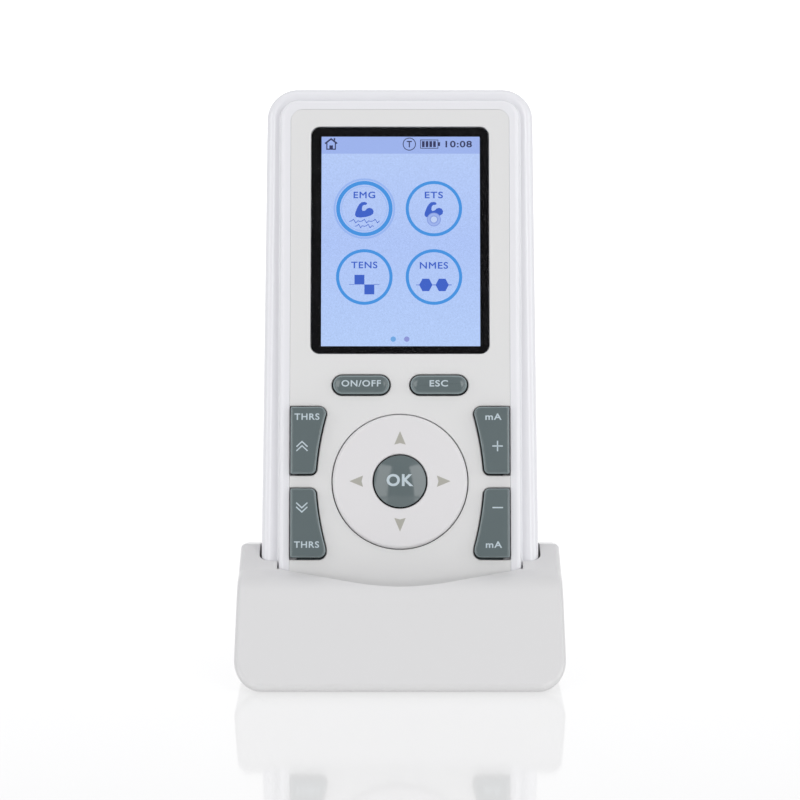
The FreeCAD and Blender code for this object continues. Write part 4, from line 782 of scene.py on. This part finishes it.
def soft_lips(bm):
    """Close the panel's seam to a hair and round its edge over at the ring and the keys."""
    front = max(v.co.dot(OUT) for v in bm.verts)
    across = max(v.co.x for v in bm.verts)
    lips = []
    for seam in bm.edges:
        ends = [v.co for v in seam.verts]
        on_face = all(co.dot(OUT) > front - FACE_BAND for co in ends)
        inside = any(abs(co.x) < across - RIM_BAND for co in ends)
        near_keys = LIP_LOW < height_on_face(ends[0]) < LIP_HIGH
        if on_face and inside and near_keys and seam.calc_face_angle(0) > SMOOTH_ANGLE:
            lips.append(seam)
    bmesh.ops.scale(bm, verts=bm.verts, vec=((across + SEAM_CLOSE) / across, 1, 1))
    crown = [v for v in bm.verts if height_on_face(v.co) > PANEL_CROWN]
    bmesh.ops.translate(bm, verts=crown, vec=UP * SEAM_CLOSE)
    lengthen_foot(bm, HOLE_FOOT_DROP)
    bmesh.ops.bevel(bm, geom=lips, offset=LIP_ROUND, offset_type="OFFSET", segments=3, profile=0.5,
                    affect="EDGES", clamp_overlap=True, material=-1)


skin("front_panel", "handset", panel_satin, 0.06 * MM, shape=soft_lips)

# ---- Keys ------------------------------------------------------------------------------
# Seven hard caps in glossy grey-green, rounded at their rims and the two pills crowned
# too, stand on the silicone mat behind the panel. Each is printed with its sign in pale
# blue-grey.

# the caps' colour paints a highlight on each rounded rim and shade down each wall
KEY_COLOUR = (0.120, 0.150, 0.155, 1)
KEY_DRIFT = (0.138, 0.172, 0.178, 1)
KEY_RIM_HIGHLIGHT = (0.25, 0.315, 0.33, 1)
KEY_WALL_SHADE = (0.008, 0.010, 0.010, 1)
# painted shade on the wall, the body colour, then a painted highlight on the rim, by how far the surface
# faces the front
KEY_SHADE_AND_HIGHLIGHT_STOPS = ((0.15, KEY_WALL_SHADE), (0.38, KEY_COLOUR), (0.62, KEY_RIM_HIGHLIGHT), (0.92, KEY_COLOUR))
FLAT_FROM, FLAT_TO = 0.90, 0.97
LEGEND_COLOUR = (0.55, 0.62, 0.655, 1)
LEGEND_LIFT = 0.004 * MM
LEGEND_STEP = 0.5 * MM       # longer edges are halved before a legend is laid on its cap
LAY_FROM = 5 * MM            # how far in front of the face the laying starts
CAP_HEIGHT = 1.5 * MM
KEY_EDGE = 0.08 * MM
KEY_FOOT_DROP = 0.38 * MM
PILL_CROWN = ((0.3, 0.07), (0.35, 0.055), (0.35, 0.035))


def key_painted_light_gloss():
    """Glossy tinted cap, with a painted highlight on its rounded rim and painted shade down its wall."""
    material = grained("key_gloss_with_painted_light", KEY_COLOUR, KEY_DRIFT, (0.07, 0.12), 1.2 * MM, 0.001 * MM)
    tree = material.node_tree
    shader = tree.nodes["Principled BSDF"]
    body_colour = shader.inputs["Base Color"].links[0].from_socket
    facing = tree.nodes.new("ShaderNodeNewGeometry")
    lean = tree.nodes.new("ShaderNodeVectorMath")
    lean.operation = "DOT_PRODUCT"
    lean.inputs[1].default_value = OUT
    tree.links.new(facing.outputs["Normal"], lean.inputs[0])
    edge = tree.nodes.new("ShaderNodeValToRGB")
    fill_ramp(edge, KEY_SHADE_AND_HIGHLIGHT_STOPS)
    tree.links.new(lean.outputs["Value"], edge.inputs["Fac"])
    flat = tree.nodes.new("ShaderNodeMapRange")
    flat.inputs["From Min"].default_value = FLAT_FROM
    flat.inputs["From Max"].default_value = FLAT_TO
    tree.links.new(lean.outputs["Value"], flat.inputs["Value"])
    blend = tree.nodes.new("ShaderNodeMix")
    blend.data_type = "RGBA"
    tree.links.new(flat.outputs["Result"], blend.inputs["Factor"])
    tree.links.new(edge.outputs["Color"], blend.inputs["A"])
    tree.links.new(body_colour, blend.inputs["B"])
    tree.links.new(blend.outputs["Result"], shader.inputs["Base Color"])
    return material


def crowned(bm):
    """Swell a key's flat top into a shallow pillow, by insets of (width, rise)."""
    facing = [face for face in bm.faces if face.normal.dot(OUT) > 0.999]
    top = max(facing, key=lambda face: face.calc_area())
    for width, rise in PILL_CROWN:
        bmesh.ops.inset_region(bm, faces=[top], thickness=width * MM, depth=rise * MM,
                               use_boundary=True, use_even_offset=True)


def longer_foot(bm):
    """Draw a lower side key's foot down into its hole."""
    lengthen_foot(bm, KEY_FOOT_DROP)


def printed(bm, name, node, x, up, material):
    """Print a flat drawing on a key: each point is laid on the cap's surface from the front."""
    bmesh.ops.remove_doubles(bm, verts=bm.verts, dist=DRAWING_WELD)
    bmesh.ops.triangulate(bm, faces=bm.faces[:])
    turn_up(bm)
    for _ in range(2):
        long_edges = [e for e in bm.edges if e.calc_length() > LEGEND_STEP]
        bmesh.ops.subdivide_edges(bm, edges=long_edges, cuts=1)
        bmesh.ops.triangulate(bm, faces=bm.faces[:])
    bmesh.ops.transform(bm, matrix=face_matrix(x, up, LAY_FROM), verts=bm.verts)
    mesh = bpy.data.objects[node + "_finish"].data
    cap = BVHTree.FromPolygons([v.co for v in mesh.vertices], [p.vertices[:] for p in mesh.polygons])
    for vertex in bm.verts:
        vertex.co = cap.ray_cast(vertex.co, -OUT)[0] + OUT * LEGEND_LIFT
    thicken(bm, OUT)
    film_piece(bm, name, node, material)


def chevrons(way):
    """Two thin nested chevrons, pointing up (1) or down (-1)."""
    bm = bmesh.new()
    for rise in (0.48, -0.48):
        add_stroke(bm, ((-1.27 * MM, (rise - 0.64) * way * MM), (0, (rise + 0.54) * way * MM),
                        (1.27 * MM, (rise - 0.64) * way * MM)), 0.28 * MM)
    return bm


def bars(count):
    """A minus sign (one bar) or a plus sign (two)."""
    bm = bmesh.new()
    add_rectangle(bm, -1.2 * MM, 1.2 * MM, -0.15 * MM, 0.15 * MM)
    if count == 2:
        add_rectangle(bm, -0.15 * MM, 0.15 * MM, -1.2 * MM, 1.2 * MM)
    return bm


key_gloss_with_painted_light = key_painted_light_gloss()
legend_ink = grained("legend_ink", LEGEND_COLOUR, (0.46, 0.56, 0.62, 1), (0.4, 0.5),
                     0.2 * MM, 0.001 * MM)

for key, shape in (("on_off_key", crowned), ("escape_key", crowned), ("threshold_up_key", None),
                   ("current_up_key", None), ("threshold_down_key", longer_foot),
                   ("current_down_key", longer_foot), ("ok_key", None)):
    skin(key, key, key_gloss_with_painted_light, KEY_EDGE, shape=shape)

# the pills' and the middle key's words
PILL_X, PILL_RISE = 8.85 * MM, 22.45 * MM
OK_RISE = 0.15 * MM
for name, words, height, width, weight, x, up in (
        ("on_off", "ON/OFF", CAP_HEIGHT, 9.0 * MM, 0.02, -PILL_X, PILL_RISE),
        ("escape", "ESC", CAP_HEIGHT, 4.2 * MM, 0.02, PILL_X, PILL_RISE),
        ("ok", "OK", 2.8 * MM, 6.1 * MM, 0.032, 0, OK_RISE)):
    printed(lettering(words, height, width, weight), name + "_legend", name + "_key", x, up, legend_ink)

# the side keys' words, towards the ends of the pad, and their signs
WORD_UP, SIGN_UP = 14.75 * MM, 8.0 * MM
WORD_DOWN, SIGN_DOWN = -14.55 * MM, -6.1 * MM
THRESHOLD = "THRS", 5.7 * MM, -21.2 * MM, -22.3 * MM
CURRENT = "mA", 3.7 * MM, 21.3 * MM, 22.2 * MM
SIDE_WEIGHT = 0.018
for name, legend, word_rise, sign, sign_rise in (
        ("threshold_up", THRESHOLD, WORD_UP, chevrons(1), SIGN_UP),
        ("threshold_down", THRESHOLD, WORD_DOWN, chevrons(-1), SIGN_DOWN),
        ("current_up", CURRENT, WORD_UP, bars(2), SIGN_UP),
        ("current_down", CURRENT, WORD_DOWN, bars(1), SIGN_DOWN)):
    word, width, word_x, sign_x = legend
    printed(lettering(word, CAP_HEIGHT, width, SIDE_WEIGHT), name + "_word", name + "_key", word_x,
            word_rise, legend_ink)
    printed(sign, name + "_sign", name + "_key", sign_x, sign_rise, legend_ink)

# ---- Direction ring --------------------------------------------------------------------
# A white satin ring that rocks towards each of its four arrows, which are printed on it
# in warm grey.

ARROW_TIP, ARROW_BASE, ARROW_NOTCH = 11.5 * MM, 8.4 * MM, 8.75 * MM
ARROW_HALF_WIDTH = 1.3 * MM
RING_EDGE, RING_SPREAD = 15.25 * MM, 0.12 * MM

ring_satin = grained("ring_satin", (0.745, 0.735, 0.745, 1), (0.735, 0.725, 0.735, 1), (0.32, 0.44),
                     0.2 * MM, 0.002 * MM)
arrow_ink = grained("arrow_ink", (0.42, 0.41, 0.365, 1), (0.40, 0.39, 0.35, 1), (0.4, 0.5),
                    0.2 * MM, 0.001 * MM)


def close_gap(bm):
    """Bring the ring's rim a hair nearer to the panel, so the line round it stays fine."""
    spread = (RING_EDGE + RING_SPREAD) / RING_EDGE
    bmesh.ops.scale(bm, verts=bm.verts, vec=(spread, spread, 1), space=face_matrix(0, 0, 0).inverted())


skin("direction_ring", "direction_ring", ring_satin, 0.1 * MM, shape=close_gap)

# one arrow drawn to the right, then turned to each quarter
for quarter, way in enumerate(("right", "up", "left", "down")):
    bm = bmesh.new()
    add_polygon(bm, ((ARROW_TIP, 0), (ARROW_BASE, ARROW_HALF_WIDTH), (ARROW_NOTCH, 0),
                     (ARROW_BASE, -ARROW_HALF_WIDTH)))
    bmesh.ops.rotate(bm, verts=bm.verts, matrix=Matrix.Rotation(quarter * pi / 2, 3, "Z"))
    printed(bm, "arrow_" + way, "direction_ring", 0, 0, arrow_ink)
